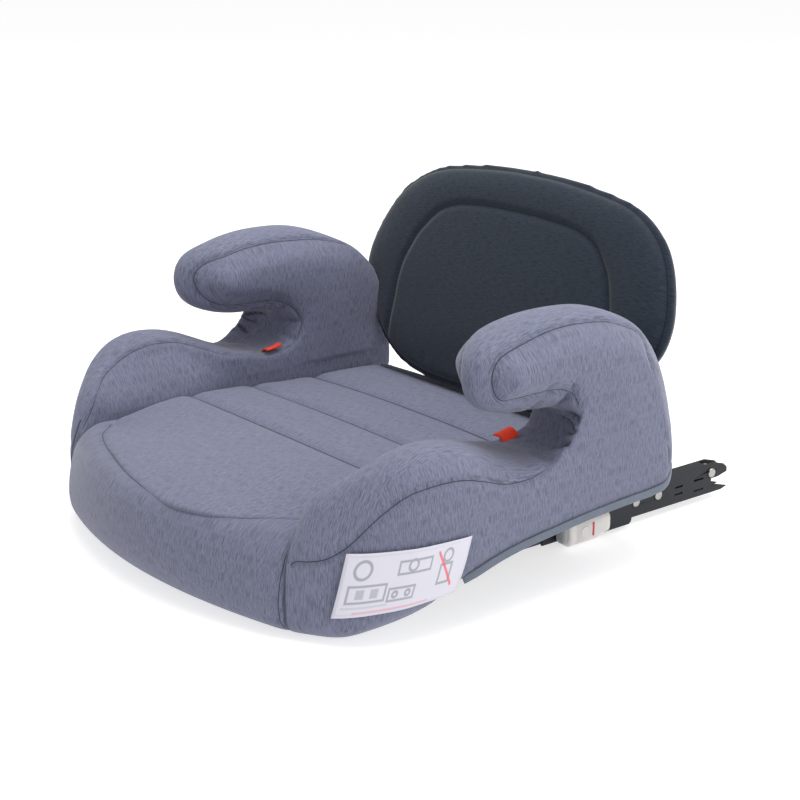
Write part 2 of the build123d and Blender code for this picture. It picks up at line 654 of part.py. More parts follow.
def make_rail():
    """Guide rail on the tray's floor."""
    half = SLIDE_BAR_W / 2 + SLIDE_GAP
    y0 = RAIL_REAR_Y - RAIL_LENGTH
    rail = block(RAIL_X - half - 2, RAIL_X + half + 2, y0, RAIL_REAR_Y, WALL, 28)
    return rail - block(RAIL_X - half, RAIL_X + half, y0 - 1, RAIL_REAR_Y + 1, SLIDE_BAR_Z - SLIDE_GAP, 30)


# ---- adjuster -----------------------------------------------------------------------------
def make_strip():
    """Flat strip on the cross tube that the cam grips."""
    strip = block(-STRIP_HALF, STRIP_HALF, 2, TUBE_Y, STRIP_Z, STRIP_Z + STRIP_T)
    return strip - rod_x(-BAR_OUT, BAR_OUT, TUBE_Y, TUBE_Z, TUBE_R)


def make_cam():
    """Cam above the strip, with a lever at each end."""
    radius = CAM_Z - STRIP_Z - STRIP_T - CAM_CLEAR
    cam = rod_x(-CAM_HALF, CAM_HALF, CAM_Y, CAM_Z, 6) + rod_x(-9, 9, CAM_Y - 1.5, CAM_Z, radius)
    for x in (-CAM_HALF, CAM_HALF - ARM_T):
        cam += block(x, x + ARM_T, CAM_Y - 2, CAM_Y + 2, 12, CAM_Z)
    return cam - rod_x(-CAM_HALF - 1, CAM_HALF + 1, CAM_Y, CAM_Z, CAM_PIN_R + PIN_GAP)


def make_cam_pin():
    """Pin of the cam."""
    return rod_x(-CAM_HALF - ARM_T, CAM_HALF + ARM_T, CAM_Y, CAM_Z, CAM_PIN_R)


def make_cam_bracket():
    """Two posts on the tray's floor that hold the cam's pin."""
    x1 = CAM_HALF + ARM_T
    post = block(x1 - WALL, x1, CAM_Y - 6, CAM_Y + 6, WALL, CAM_Z + 6)
    return both_sides(post - rod_x(CAM_HALF, x1 + 1, CAM_Y, CAM_Z, CAM_PIN_R + PIN_GAP))


def make_handle():
    """Pull handle in the tray's floor, with two posts that turn the cam."""
    grip = block(-30, 30, -46, -30, 2, 8)
    grip = fillet(grip.edges().filter_by(Axis.Z), 3)
    handle = grip + block(-CAM_HALF, CAM_HALF, -30, 2, 5, 8)
    handle += block(-8, 8, -0.5, 2, 8, 13)
    for x in (-CAM_HALF, CAM_HALF - ARM_T):
        handle += block(x, x + ARM_T, CAM_Y + 2.5, CAM_Y + 6.5, 8, 14)
    return handle


def make_handle_spring():
    """Return spring behind the handle."""
    return Pos(0, 16.7, 9) * Rot(90, 0, 0) * coil(2.4, 14.2, 3.0, 0.5)


def make_spring_post():
    """Stop on the tray's floor for the handle's spring."""
    return block(-8, 8, 17.2, 20, WALL, 14)


# ---- backrest -------------------------------------------------------------------------------
def make_board():
    """Backrest board with two hinge lugs."""
    y, z = hinge_axis()
    board = back_slab(back_face(BACK_TAPER), PAD_T, PAD_T + BOARD_T)
    leg = Rectangle(LUG_W, BACK_TAPER + 40, align=(Align.CENTER, Align.MIN))
    for x in (-HINGE_X, HINGE_X):
        board += back_slab(Pos(x, HINGE_S) * leg, PAD_T, PAD_T + BOARD_T)
        board += rod_x(x - LUG_W / 2, x + LUG_W / 2, y, z, LUG_R)
    return board - rod_x(-SEAT_HALF, SEAT_HALF, y, z, HINGE_PIN_R + PIN_GAP)


def make_back_pad():
    """Backrest pad in front of the board."""
    pad = back_slab(back_face(), PAD_CROWN, BACK_SEAM) + back_taper(BACK_SEAM, PAD_T)
    return pad + back_slab(back_face(PAD_EDGE), 0, PAD_CROWN)


def make_back_cover():
    """Cover behind the board."""
    return back_taper(PAD_T + BOARD_T, PAD_T + BOARD_T + REAR_COVER_T)


def make_hinge_bracket():
    """Bracket on the rear wall of the pan that holds the hinge pin."""
    y, z = hinge_axis()
    x0 = HINGE_X - LUG_W / 2 - SLIDE_GAP
    x1 = HINGE_X + LUG_W / 2 + SLIDE_GAP
    bracket = block(x0 - CHEEK_T, x1 + CHEEK_T, SEAT_REAR_Y, SEAT_REAR_Y + 2.5, 46, 73)
    for a in (x0 - CHEEK_T, x1):
        bracket += block(a, a + CHEEK_T, SEAT_REAR_Y, y, 50, z + 7) + rod_x(a, a + CHEEK_T, y, z, 7)
    return bracket - rod_x(x0 - CHEEK_T - 1, x1 + CHEEK_T + 1, y, z, HINGE_PIN_R + PIN_GAP)


def make_hinge_pin():
    """Hinge pin with a head at each end."""
    y, z = hinge_axis()
    half = LUG_W / 2 + SLIDE_GAP + CHEEK_T
    pin = rod_x(HINGE_X - half - 2, HINGE_X + half + 2, y, z, HINGE_PIN_R)
    for x0, x1 in ((-half - 2, -half - 0.1), (half + 0.1, half + 2)):
        pin += rod_x(HINGE_X + x0, HINGE_X + x1, y, z, HINGE_PIN_R + 1.5)
    return pin


# ---- write every piece --------------------------------------------------------------------------
SINGLE = {
    "base_tray": make_tray,
    "seat_pan": make_pan,
    "tray_screws": make_screws,
    "armrest_screws": make_arm_screws,
    "seat_foam": make_foam,
    "seat_pad": make_seat_pad,
    "front_panel": make_front_panel,
    "rear_binding": make_rear_binding,
    "side_label": make_label,
    "cross_tube": make_cross_tube,
    "lock_strip": make_strip,
    "lock_cam": make_cam,
    "cam_pin": make_cam_pin,
    "cam_brackets": make_cam_bracket,
    "adjuster_handle": make_handle,
    "handle_spring": make_handle_spring,
    "spring_post": make_spring_post,
    "backrest_board": make_board,
    "backrest_pad": make_back_pad,
    "backrest_rear_cover": make_back_cover,
}
PAIRED = {
    "armrest_frame": make_arm_frame,
    "armrest_cover": make_arm_cover,
    "hem_binding": make_hem,
    "belt_tab": make_belt_tab,
    "connector_bar": make_bar,
    "connector_rivets": make_rivets,
    "hook_pin": make_hook_pin,
    "latch_hook": make_hook,
    "latch_trigger": make_trigger,
    "release_housing": make_housing,
    "release_button": make_button,
    "pull_rod": make_pull_rod,
    "button_spring": make_button_spring,
    "indicator_flag": make_flag,
    "guide_sleeve": make_sleeve,
    "slide_bar": make_slide_bar,
    "guide_rail": make_rail,
    "hinge_bracket": make_hinge_bracket,
    "hinge_pin": make_hinge_pin,
}

os.makedirs("parts", exist_ok=True)
for name, make in SINGLE.items():
    export_step(make(), f"parts/{name}.step")
for name, make in PAIRED.items():
    piece = make()
    export_step(piece, f"parts/{name}_right.step")
    export_step(other_side(piece), f"parts/{name}_left.step")
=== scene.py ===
import bmesh
import bpy
import json
import math
import numpy as np
import random
from bpy.props import FloatProperty, FloatVectorProperty, IntProperty, PointerProperty
from bpy.types import Operator, Panel, PropertyGroup
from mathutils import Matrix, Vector
from mathutils.bvhtree import BVHTree
from mathutils.kdtree import KDTree


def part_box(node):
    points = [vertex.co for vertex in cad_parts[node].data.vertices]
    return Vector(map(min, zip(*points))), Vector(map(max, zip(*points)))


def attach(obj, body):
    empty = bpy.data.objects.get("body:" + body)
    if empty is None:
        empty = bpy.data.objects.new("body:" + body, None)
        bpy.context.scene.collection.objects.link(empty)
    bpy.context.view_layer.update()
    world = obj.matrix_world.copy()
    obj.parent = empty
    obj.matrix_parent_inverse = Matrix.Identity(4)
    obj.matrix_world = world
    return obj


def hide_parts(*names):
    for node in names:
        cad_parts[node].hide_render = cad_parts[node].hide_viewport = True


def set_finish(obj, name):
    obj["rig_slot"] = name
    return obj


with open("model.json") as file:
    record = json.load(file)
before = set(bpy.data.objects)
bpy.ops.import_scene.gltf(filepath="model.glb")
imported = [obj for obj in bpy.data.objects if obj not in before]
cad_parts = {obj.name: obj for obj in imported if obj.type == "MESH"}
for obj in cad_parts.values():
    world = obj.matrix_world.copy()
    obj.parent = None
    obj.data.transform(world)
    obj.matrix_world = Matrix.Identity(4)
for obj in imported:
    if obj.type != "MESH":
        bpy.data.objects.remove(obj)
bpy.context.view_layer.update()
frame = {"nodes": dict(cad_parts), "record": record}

bl_info = {
    "name": "Booster Seat Upholstery",
    "version": (1, 0, 0),
    "blender": (4, 5, 0),
    "location": "View3D > Sidebar > Booster",
    "description": "Padded covers, trims and finishes for a booster seat frame",
    "category": "Object",
}

MM = 0.001
SEAT_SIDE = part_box("seat_pad")[1].x            # inner face of an armrest
ARM_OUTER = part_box("armrest_cover_right")[1].x
SEAM_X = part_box("front_panel")[1].x            # upright seams beside the front panel
SIDES = (("right", 1), ("left", -1))


# ---- settings a user may change ---------------------------------------------------
class BoosterPadding(PropertyGroup):
    voxel: FloatProperty(name="Voxel", description="Mesh size of a padded piece",
                         default=0.0036, unit="LENGTH")
    pressure: FloatProperty(name="Pressure", description="How hard the foam swells its cover", default=4.0)
    swell: FloatProperty(name="Swell", description="Most that a cover may stand proud of its shape",
                         default=0.0045, unit="LENGTH")
    frames: IntProperty(name="Frames", description="Steps of the cloth simulation", default=18)


class BoosterSeams(PropertyGroup):
    depth: FloatProperty(name="Depth", description="How deep a sewn seam pulls in",
                         default=0.0017, unit="LENGTH")
    width: FloatProperty(name="Width", description="Half width of the valley beside a seam",
                         default=0.0028, unit="LENGTH")
    gather: FloatProperty(name="Gathers", description="Height of the gathers in the belt notch",
                          default=0.0042, unit="LENGTH")


class BoosterColours(PropertyGroup):
    cover: FloatVectorProperty(name="Cover", description="Heather knit of the seat and armrests",
                               subtype="COLOR", default=(0.163, 0.171, 0.243))
    cover_dark: FloatVectorProperty(name="Cover streaks", description="Dark threads in the cover",
                                    subtype="COLOR", default=(0.056, 0.063, 0.090))
    backrest: FloatVectorProperty(name="Backrest", description="Dark heather knit",
                                  subtype="COLOR", default=(0.022, 0.031, 0.046))
    backrest_dark: FloatVectorProperty(name="Backrest streaks", description="Darkest threads",
                                       subtype="COLOR", default=(0.007, 0.010, 0.016))
    tape: FloatVectorProperty(name="Binding tape", description="Hem and rear edge tape",
                              subtype="COLOR", default=(0.140, 0.160, 0.205))
    tab: FloatVectorProperty(name="Belt tab", description="Bright belt route tab",
                             subtype="COLOR", default=(0.83, 0.045, 0.012))


class BoosterStage(PropertyGroup):
    azimuth: FloatProperty(name="Azimuth", description="Camera direction round the seat",
                           default=math.radians(51.43), subtype="ANGLE")
    elevation: FloatProperty(name="Elevation", description="Camera height above the horizon",
                             default=math.radians(17.28), subtype="ANGLE")
    place: FloatVectorProperty(name="Camera place", description="Where the camera stands",
                               subtype="TRANSLATION", default=(1.0635, -0.7325, 0.5172))
    lens: FloatProperty(name="Lens", description="Focal length in millimetres", default=78.75)


def settings():
    """The three groups of sizes and colours, from the scene."""
    scene = bpy.context.scene
    return scene.booster_padding, scene.booster_seams, scene.booster_colours


# ---- shader maths --------------------------------------------------------------------
class Term:
    """A shader socket that can be written in Python sums."""

    def __init__(self, tree, socket):
        self.tree = tree
        self.socket = socket

    def maths(self, operation, *values):
        node = self.tree.nodes.new("ShaderNodeMath")
        node.operation = operation
        for slot, value in zip(node.inputs, values):
            put(self.tree, slot, value)
        return Term(self.tree, node.outputs[0])

    def __add__(self, other):
        return self.maths("ADD", self, other)

    def __sub__(self, other):
        return self.maths("SUBTRACT", self, other)

    def __rsub__(self, other):
        return self.maths("SUBTRACT", other, self)

    def __mul__(self, other):
        return self.maths("MULTIPLY", self, other)

    def __truediv__(self, other):
        return self.maths("DIVIDE", self, other)

    def __pow__(self, other):
        return self.maths("POWER", self, other)

    __radd__ = __add__
    __rmul__ = __mul__

    def least(self, other):
        return self.maths("MINIMUM", self, other)

    def most(self, other):
        return self.maths("MAXIMUM", self, other)

    def size(self):
        return self.maths("ABSOLUTE", self)

    def ramp(self, low, high):
        """0 below low, 1 above high, smooth between them; low may be the larger."""
        node = self.tree.nodes.new("ShaderNodeMapRange")
        node.interpolation_type = "SMOOTHSTEP"
        flip = low > high
        values = (self, min(low, high), max(low, high), float(flip), float(not flip))
        for slot, value in zip(node.inputs, values):
            put(self.tree, slot, value)
        return Term(self.tree, node.outputs[0])


def put(tree, slot, value):
    """Sets a socket to a constant, or links a term to it."""
    if isinstance(value, Term):
        tree.links.new(value.socket, slot)
    elif value is not None:
        slot.default_value = value


class Finish:
    """One material and its Principled shader."""

    def __init__(self, name, **constants):
        self.material = bpy.data.materials.new(name)
        self.material.use_nodes = True
        self.tree = self.material.node_tree
        self.shader = self.tree.nodes["Principled BSDF"]
        self.set(**constants)

    def set(self, **values):
        """Sets or links sockets of the shader; words in a name are joined by underscores."""
        for name, value in values.items():
            if isinstance(value, tuple) and len(value) == 3:
                value = (*value, 1.0)
            put(self.tree, self.shader.inputs[name.replace("_", " ")], value)
        return self

    def node(self, kind, settings=None, output=0, **values):
        """Any node: its type, its settings, then the values or links of its sockets."""
        node = self.tree.nodes.new("ShaderNode" + kind)
        for name, value in (settings or {}).items():
            setattr(node, name, value)
        for name, value in values.items():
            key = int(name[1:]) if name[0] == "i" and name[1:].isdigit() else name.replace("_", " ")
            put(self.tree, node.inputs[key], value)
        return Term(self.tree, node.outputs[output])

    def place(self, scale=(1, 1, 1), turn=(0, 0, 0), attribute=None):
        """Object coordinates, or a piece's own attribute, scaled and turned."""
        if attribute:
            start = self.node("Attribute", {"attribute_name": attribute}, "Vector")
        else:
            start = self.node("TexCoord", None, "Object")
        return self.node("Mapping", Vector=start, Scale=scale, Rotation=turn)

    def noise(self, where, scale, detail=3.0, roughness=0.55):
        return self.node("TexNoise", None, 0, Vector=where, Scale=scale, Detail=detail, Roughness=roughness)

    def value(self, attribute):
        """A number painted on the mesh."""
        return self.node("Attribute", {"attribute_name": attribute}, "Fac")

    def mix(self, amount, first, second, blend="MIX"):
        """Mixes two colours."""
        first, second = [(*c, 1.0) if isinstance(c, tuple) and len(c) == 3 else c for c in (first, second)]
        node = self.tree.nodes.new("ShaderNodeMix")
        node.data_type = "RGBA"
        node.blend_type = blend
        for index, value in ((0, amount), (6, first), (7, second)):
            put(self.tree, node.inputs[index], value)
        return Term(self.tree, node.outputs[2])

    def bump(self, height, strength=0.3, distance=0.0005):
        normal = self.node("Bump", None, 0, Strength=strength, Distance=distance, Height=height)
        self.set(Normal=normal)


# ---- materials --------------------------------------------------------------------------
def heather_knit(name, light, dark, seam_and_shade_colour, sheen, two_ways=False):
    """Fine knit with long dark flecks along its weave, painted shade in the valleys beside its seams, and a
    dark seam line that is partly painted shade; the two-way armrest knit also has painted shade in its fold
    creases.
    """
    fabric = Finish(name, Sheen_Weight=sheen, Sheen_Roughness=0.45, Specular_IOR_Level=0.15)

    def threads(across, along, detail):
        first = fabric.noise(fabric.place((across, along, across), attribute="weave"), 1.0, detail)
        if not two_ways:
            return first
        second = fabric.noise(fabric.place((across, along, across), attribute="weave_over"), 1.0, detail)
        panel = fabric.value("seam_side").ramp(-0.2 * MM, 0.2 * MM)
        return first * panel + second * (1 - panel)

    fleck = threads(2300, 120, 0.0)
    thread = threads(4200, 300, 1.0)
    broad = threads(45, 22, 2.0)
    pale = tuple(min(1.0, c * 1.22) for c in light)
    base = fabric.mix(thread.ramp(0.30, 0.62), pale, light)
    base = fabric.mix(thread.ramp(0.50, 0.68) * 0.42, base, dark)
    base = fabric.mix(fleck.ramp(0.46, 0.68) * 0.52, base, dark)
    base = fabric.mix(broad.ramp(0.30, 0.72) * 0.14, base, tuple(c * 0.7 for c in light))
    # Painted shade: the fold valleys of the notch gathers are darkened with the seam colour, as is the upright
    # seam line.
    if two_ways:
        base = fabric.mix(fabric.value("crease").ramp(0.25, 1.0) * 0.72, base, seam_and_shade_colour)
    beside = fabric.value("seam")
    limit = (2.4 if two_ways else 4.0) * MM
    # Dark seam line: partly the seam's own dark joint, partly painted shade in its groove.
    line = fabric.value("seam_side").size().ramp(0.58 * MM, 0.18 * MM) * beside.ramp(limit, limit * 0.7)
    # Painted shade: the cloth darkens with the dark thread colour towards a seam, in the valley that the seam
    # pulls in.
    base = fabric.mix(beside.ramp(6.0 * MM, 0.5 * MM) * 0.20, base, dark)
    fabric.set(Base_Color=fabric.mix(line * 0.80, base, seam_and_shade_colour), Roughness=0.84 + fleck * 0.14)
    fabric.bump(fleck * 0.5 + thread * 0.5 - line * 1.2, 0.30, 0.0005)
    return fabric.material


def woven_tape(name, colour, twill=1700.0):
    """Narrow woven tape with a fine twill and lighter blotches."""
    tape = Finish(name, Roughness=0.75, Sheen_Weight=0.25, Sheen_Roughness=0.4, Specular_IOR_Level=0.25)
    where = tape.place((1, 1, 1))
    ribs = tape.node("TexWave", {"wave_type": "BANDS", "bands_direction": "DIAGONAL"}, 1,
                     Vector=where, Scale=twill, Distortion=1.5, Detail=1.0)
    soil = tape.noise(where, 90.0)
    base = tape.mix(ribs * 0.35, colour, tuple(c * 0.6 for c in colour))
    base = tape.mix(soil.ramp(0.4, 0.75) * 0.25, base, tuple(min(1, c * 1.35) for c in colour))
    tape.set(Base_Color=base, Roughness=0.68 + soil * 0.15)
    tape.bump(ribs, 0.35, 0.0003)
    return tape.material


def moulded_plastic(name, colour, roughness=0.45, grain=900.0, depth=0.12, coat=0.0):
    """Moulded plastic with a fine grain and rubbed high spots."""
    plastic = Finish(name, Coat_Weight=coat, Coat_Roughness=0.25, Specular_IOR_Level=0.45)
    where = plastic.place()
    grainy = plastic.noise(where, grain, 2.0)
    cloud = plastic.noise(where, 35.0, 3.0)
    base = plastic.mix(cloud.ramp(0.35, 0.7) * 0.4, colour, tuple(min(1, c * 0.82) for c in colour))
    plastic.set(Base_Color=base, Roughness=roughness - 0.08 + cloud * 0.16)
    plastic.bump(grainy, depth, 0.0002)
    return plastic.material


def painted_steel():
    """Dark blue-black powder coat with slight orange peel and rubbed edges."""
    steel = Finish("powder_coated_steel", Specular_IOR_Level=0.3, Coat_Weight=0.06, Coat_Roughness=0.22)
    where = steel.place()
    peel = steel.noise(where, 650.0, 2.0)
    worn = steel.noise(steel.place((1, 0.25, 1)), 140.0, 4.0).ramp(0.62, 0.80)
    base = steel.mix(worn * 0.35, (0.005, 0.007, 0.012), (0.030, 0.034, 0.044))
    steel.set(Base_Color=base, Roughness=0.36 + peel * 0.14 + worn * 0.12)
    steel.bump(peel, 0.10, 0.0003)
    return steel.material


def bare_steel(name, colour, roughness=0.28, brushed=(900, 40, 900)):
    """Plain or zinc-plated steel with fine drawn marks."""
    steel = Finish(name, Metallic=1.0)
    marks = steel.noise(steel.place(brushed), 1.0, 3.0)
    stain = steel.noise(steel.place(), 220.0, 3.0).ramp(0.45, 0.8)
    base = steel.mix(stain * 0.35, colour, tuple(c * 0.55 for c in colour))
    steel.set(Base_Color=base, Roughness=roughness + marks * 0.18 + stain * 0.1)
    steel.bump(marks, 0.12, 0.0002)
    return steel.material


def open_foam():
    """Cut foam block."""
    foam = Finish("cut_foam", Roughness=0.95)
    cells = foam.node("TexVoronoi", None, 0, Vector=foam.place(), Scale=900.0)
    foam.set(Base_Color=foam.mix(cells.ramp(0.2, 0.8), (0.42, 0.41, 0.37), (0.74, 0.73, 0.68)))
    foam.bump(cells, 0.4, 0.0005)
    return foam.material


def label_cloth():
    """Satin label: stitched border, plain line drawings, grey and red bars, no lettering."""
    cloth = Finish("printed_satin_label", Roughness=0.55, Sheen_Weight=0.2, Sheen_Roughness=0.3)
    across = cloth.node("SeparateXYZ", None, 0, Vector=cloth.place(attribute="label_place"))
    up = cloth.node("SeparateXYZ", None, 1, Vector=cloth.place(attribute="label_place"))

    def line(distance, half=0.010):
        return distance.size().ramp(half + 0.007, half)

    def disc(x, y, radius):
        dx = across - x
        dy = (up - y) * 0.39
        return (dx * dx + dy * dy) ** 0.5 - radius

    def slab(x, y, half_x, half_y):
        return ((across - x).size() - half_x).most(((up - y).size() - half_y) * 0.39)

    ink = line(disc(0.13, 0.74, 0.055), 0.006)
    for frame_box in ((0.19, 0.36, 0.13, 0.13), (0.45, 0.30, 0.10, 0.10), (0.52, 0.72, 0.13, 0.10)):
        ink = ink.most(line(slab(*frame_box), 0.004))
    for x in (0.14, 0.24):
        ink = ink.most(slab(x, 0.36, 0.028, 0.075).ramp(0.004, -0.004) * 0.7)
    for x, y, radius in ((0.50, 0.74, 0.035), (0.80, 0.78, 0.040), (0.40, 0.30, 0.018), (0.50, 0.30, 0.018)):
        ink = ink.most(line(disc(x, y, radius), 0.005))
    ink = ink.most(line(slab(0.80, 0.48, 0.05, 0.16), 0.005))
    for y in (0.14, 0.155):
        ink = ink.most(slab(0.2, y, 0.16, 0.008).ramp(0.004, -0.004) * 0.45)
    red = line((across - 0.80) + (up - 0.55) * 0.30, 0.008) * slab(0.80, 0.55, 0.1, 0.33).ramp(0.004, -0.004)
    red = red.most(slab(0.42, 0.065, 0.30, 0.014).ramp(0.004, -0.004) * 0.55)
    hem = line(slab(0.5, 0.5, 0.485, 0.455), 0.002)
    weave = cloth.noise(cloth.place((2200, 2200, 2200)), 1.0, 1.0)
    base = cloth.mix(weave * 0.12, (0.60, 0.59, 0.66), (0.45, 0.45, 0.52))
    base = cloth.mix(hem * 0.35, base, (0.45, 0.45, 0.52))
    base = cloth.mix(ink * 0.62, base, (0.16, 0.17, 0.20))
    base = cloth.mix(red * 0.8, base, (0.72, 0.07, 0.10))
    cloth.set(Base_Color=base)
    cloth.bump(weave - hem * 2.0, 0.25, 0.0003)
    return cloth.material


# ---- curves and outlines -------------------------------------------------------------------
def smooth_ring(points, steps=8):
    """A closed round curve through a few points, with this many samples a span."""
    points = np.array(points, float)
    before, after, later = (np.roll(points, k, 0) for k in (1, -1, -2))
    t = np.linspace(0, 1, steps, endpoint=False)[None, :, None]
    p0, p1, p2, p3 = (p[:, None, :] for p in (before, points, after, later))
    curve = 0.5 * (2 * p1 + (p2 - p0) * t + (2 * p0 - 5 * p1 + 4 * p2 - p3) * t ** 2
                   + (3 * p1 - p0 - 3 * p2 + p3) * t ** 3)
    return curve.reshape(-1, points.shape[1])


def smooth_line(points, steps=12):
    """An open round curve through a few points."""
    points = [tuple(p) for p in points]
    first = tuple(2 * a - b for a, b in zip(points[0], points[1]))
    last = tuple(2 * a - b for a, b in zip(points[-1], points[-2]))
    ring = smooth_ring([first] + points + [last], steps)
    return ring[steps:steps * len(points) + 1]


def blend01(value, low, high):
    """Smooth step of an array from 0 at low to 1 at high."""
    t = np.clip((value - low) / (high - low), 0, 1)
    return t * t * (3 - 2 * t)


def new_piece(name, bm, material, slot_name, smooth=True):
    """A mesh object at the origin from a finished bmesh."""
    bmesh.ops.recalc_face_normals(bm, faces=bm.faces)
    mesh = bpy.data.meshes.new(name)
    bm.to_mesh(mesh)
    bm.free()
    for face in mesh.polygons:
        face.use_smooth = smooth
    piece = bpy.data.objects.new(name, mesh)
    bpy.context.scene.collection.objects.link(piece)
    mesh.materials.append(material)
    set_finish(piece, slot_name)
    return piece


def apply_modifiers(piece):
    """Bakes a piece's modifiers into its mesh."""
    graph = bpy.context.evaluated_depsgraph_get()
    mesh = bpy.data.meshes.new_from_object(piece.evaluated_get(graph))
    piece.modifiers.clear()
    old = piece.data
    piece.data = mesh
    bpy.data.meshes.remove(old)


def points_of(piece):
    co = np.empty(len(piece.data.vertices) * 3, np.float32)
    piece.data.vertices.foreach_get("co", co)
    return co.reshape(-1, 3).astype(float)


def set_points(piece, points):
    piece.data.vertices.foreach_set("co", points.astype(np.float32).ravel())
    piece.data.update()


def normals_of(piece):
    out = np.empty(len(piece.data.vertices) * 3, np.float32)
    piece.data.vertices.foreach_get("normal", out)
    return out.reshape(-1, 3).astype(float)


def paint(piece, name, values):
    """Stores a number or a vector on each vertex."""
    kind = "FLOAT" if values.ndim == 1 else "FLOAT_VECTOR"
    layer = piece.data.attributes.new(name, kind, "POINT")
    layer.data.foreach_set("value" if values.ndim == 1 else "vector", values.astype(np.float32).ravel())


def slab_piece(name, outline, depth, material, slot_name):
    """A slab whose outline is given in its own U, V plane and whose depth runs along W."""
    voxel = settings()[0].voxel
    bm = bmesh.new()
    face = bm.faces.new([bm.verts.new((u, v, 0)) for u, v in outline])
    made = bmesh.ops.extrude_face_region(bm, geom=[face])
    top = [item for item in made["geom"] if isinstance(item, bmesh.types.BMVert)]
    bmesh.ops.translate(bm, verts=top, vec=(0, 0, depth))
    bmesh.ops.recalc_face_normals(bm, faces=bm.faces)
    bmesh.ops.triangulate(bm, faces=bm.faces)
    piece = new_piece(name, bm, material, slot_name)
    remesh = piece.modifiers.new("even", "REMESH")
    remesh.mode = "VOXEL"
    remesh.voxel_size = voxel
    remesh.use_smooth_shade = True
    apply_modifiers(piece)
    return piece


def distance_to(points, path):
    """Distance of each point to a path of close points."""
    return nearest_index(points, path)[1]


def flattened(points):
    """The same points with their third coordinate set to nought."""
    return np.column_stack([points[:, 0], points[:, 1], points[:, 0] * 0])


def nearest_index(points, path):
    """Number of the nearest place on a path for each point, and the distance to it."""
    tree = KDTree(len(path))
    for index, place in enumerate(path):
        tree.insert(place, index)
    tree.balance()
    found = [tree.find(p) for p in points]
    return np.array([f[1] for f in found]), np.array([f[2] for f in found])


def dense(path, spacing=0.0008, closed=False):
    """More points along a path, none further apart than a spacing."""
    path = np.array(path, float)
    ends = np.roll(path, -1, 0) if closed else path[1:]
    starts = path if closed else path[:-1]
    out = []
    for a, b in zip(starts, ends):
        count = max(1, int(np.ceil(np.linalg.norm(b - a) / spacing)))
        out.extend(a + (b - a) * k / count for k in range(count))
    return np.array(out)


def swell(piece, seams):
    """Cloth under foam pressure: the panels puff between their pinned seams."""
    pad, _, _ = settings()
    scene = bpy.context.scene
    start = points_of(piece)
    gap = distance_to(start, seams)
    group = piece.vertex_groups.new(name="sewn")
    hold = 1 - blend01(gap, 0.4 * pad.voxel, 3.5 * pad.voxel)
    for index in np.nonzero(hold > 0.01)[0]:
        group.add([int(index)], float(hold[index]), "REPLACE")
    cloth = piece.modifiers.new("cloth", "CLOTH")
    cloth.settings.use_pressure = True
    cloth.settings.uniform_pressure_force = pad.pressure
    cloth.settings.vertex_group_mass = "sewn"
    cloth.settings.quality = 4
    cloth.settings.mass = 0.15
    cloth.settings.tension_stiffness = 30
    cloth.settings.compression_stiffness = 30
    cloth.settings.bending_stiffness = 1.2
    cloth.settings.effector_weights.gravity = 0
    cloth.point_cache.frame_start = 1
    cloth.point_cache.frame_end = pad.frames
    for step in range(1, pad.frames + 1):
        scene.frame_set(step)
    apply_modifiers(piece)
    scene.frame_set(1)
    moved = points_of(piece) - start
    length = np.maximum(np.linalg.norm(moved, axis=1), 1e-9)
    limit = pad.swell * np.tanh(length / pad.swell) / length
    set_points(piece, start + moved * limit[:, None])
    piece.vertex_groups.clear()


def refine(piece):
    """One subdivision, applied."""
    modifier = piece.modifiers.new("fine", "SUBSURF")
    modifier.levels = 1
    modifier.render_levels = 1
    apply_modifiers(piece)


def face_outwards(piece):
    """Points every face of a closed piece outwards."""
    bm = bmesh.new()
    bm.from_mesh(piece.data)
    bmesh.ops.recalc_face_normals(bm, faces=bm.faces)
    bm.to_mesh(piece.data)
    bm.free()


def relax(piece, times=2, factor=0.5):
    """Evens out the steps that a remesh leaves."""
    bm = bmesh.new()
    bm.from_mesh(piece.data)
    for _ in range(times):
        bmesh.ops.smooth_vert(bm, verts=bm.verts, factor=factor, use_axis_x=True, use_axis_y=True,
                              use_axis_z=True)
    bm.to_mesh(piece.data)
    bm.free()


def within(tree, point):
    """Whether a point lies inside a closed shape: a line out of it crosses the wall an odd number of times."""
    heading = Vector((0.31, 0.17, 0.93)).normalized()
    crossings = 0
    place = tree.ray_cast(point, heading)[0]
    while place is not None:
        crossings += 1
        place = tree.ray_cast(place + heading * 0.01 * MM, heading)[0]
    return crossings % 2 == 1


def clear_of(piece, core, room):
    """Moves the points of a cover that lie closer to its hard core than the room given."""
    tree = BVHTree.FromObject(core, bpy.context.evaluated_depsgraph_get())
    points = points_of(piece)
    for index in np.nonzero(points[:, 2] > 95 * MM)[0]:
        point = Vector(points[index])
        place, _, _, gap = tree.find_nearest(point, 3 * MM)
        if place is None or gap < 1e-7:
            continue
        outward = (place - point if within(tree, point) else point - place).normalized()
        if outward.dot(point - place) < room:
            points[index] = place + outward * room
    set_points(piece, points)


def seam_sides(piece, paths, panel=None):
    """Distance of each point to the nearest seam, and the same signed by the side of it."""
    points, normals = points_of(piece), normals_of(piece)
    gap = np.full(len(points), 1.0)
    side = np.full(len(points), 1.0)
    for path in paths:
        index, distance = nearest_index(points, path)
        along = np.gradient(path, axis=0)[index]
        along /= np.maximum(np.linalg.norm(along, axis=1), 1e-9)[:, None]
        across = np.cross(along, normals)
        reach = np.einsum("ij,ij->i", points - path[index], across)
        if panel is not None:
            near = (distance > 3 * MM) & (distance < 9 * MM)
            if np.sum(reach[near] * panel[near]) < 0:
                reach = -reach
        closer = distance < gap
        gap = np.where(closer, distance, gap)
        side = np.where(closer, reach, side)
    if panel is not None:
        far = blend01(gap, 2.5 * MM, 5 * MM)
        side = side * (1 - far) + np.maximum(gap, 3 * MM) * panel * far
    return gap, side


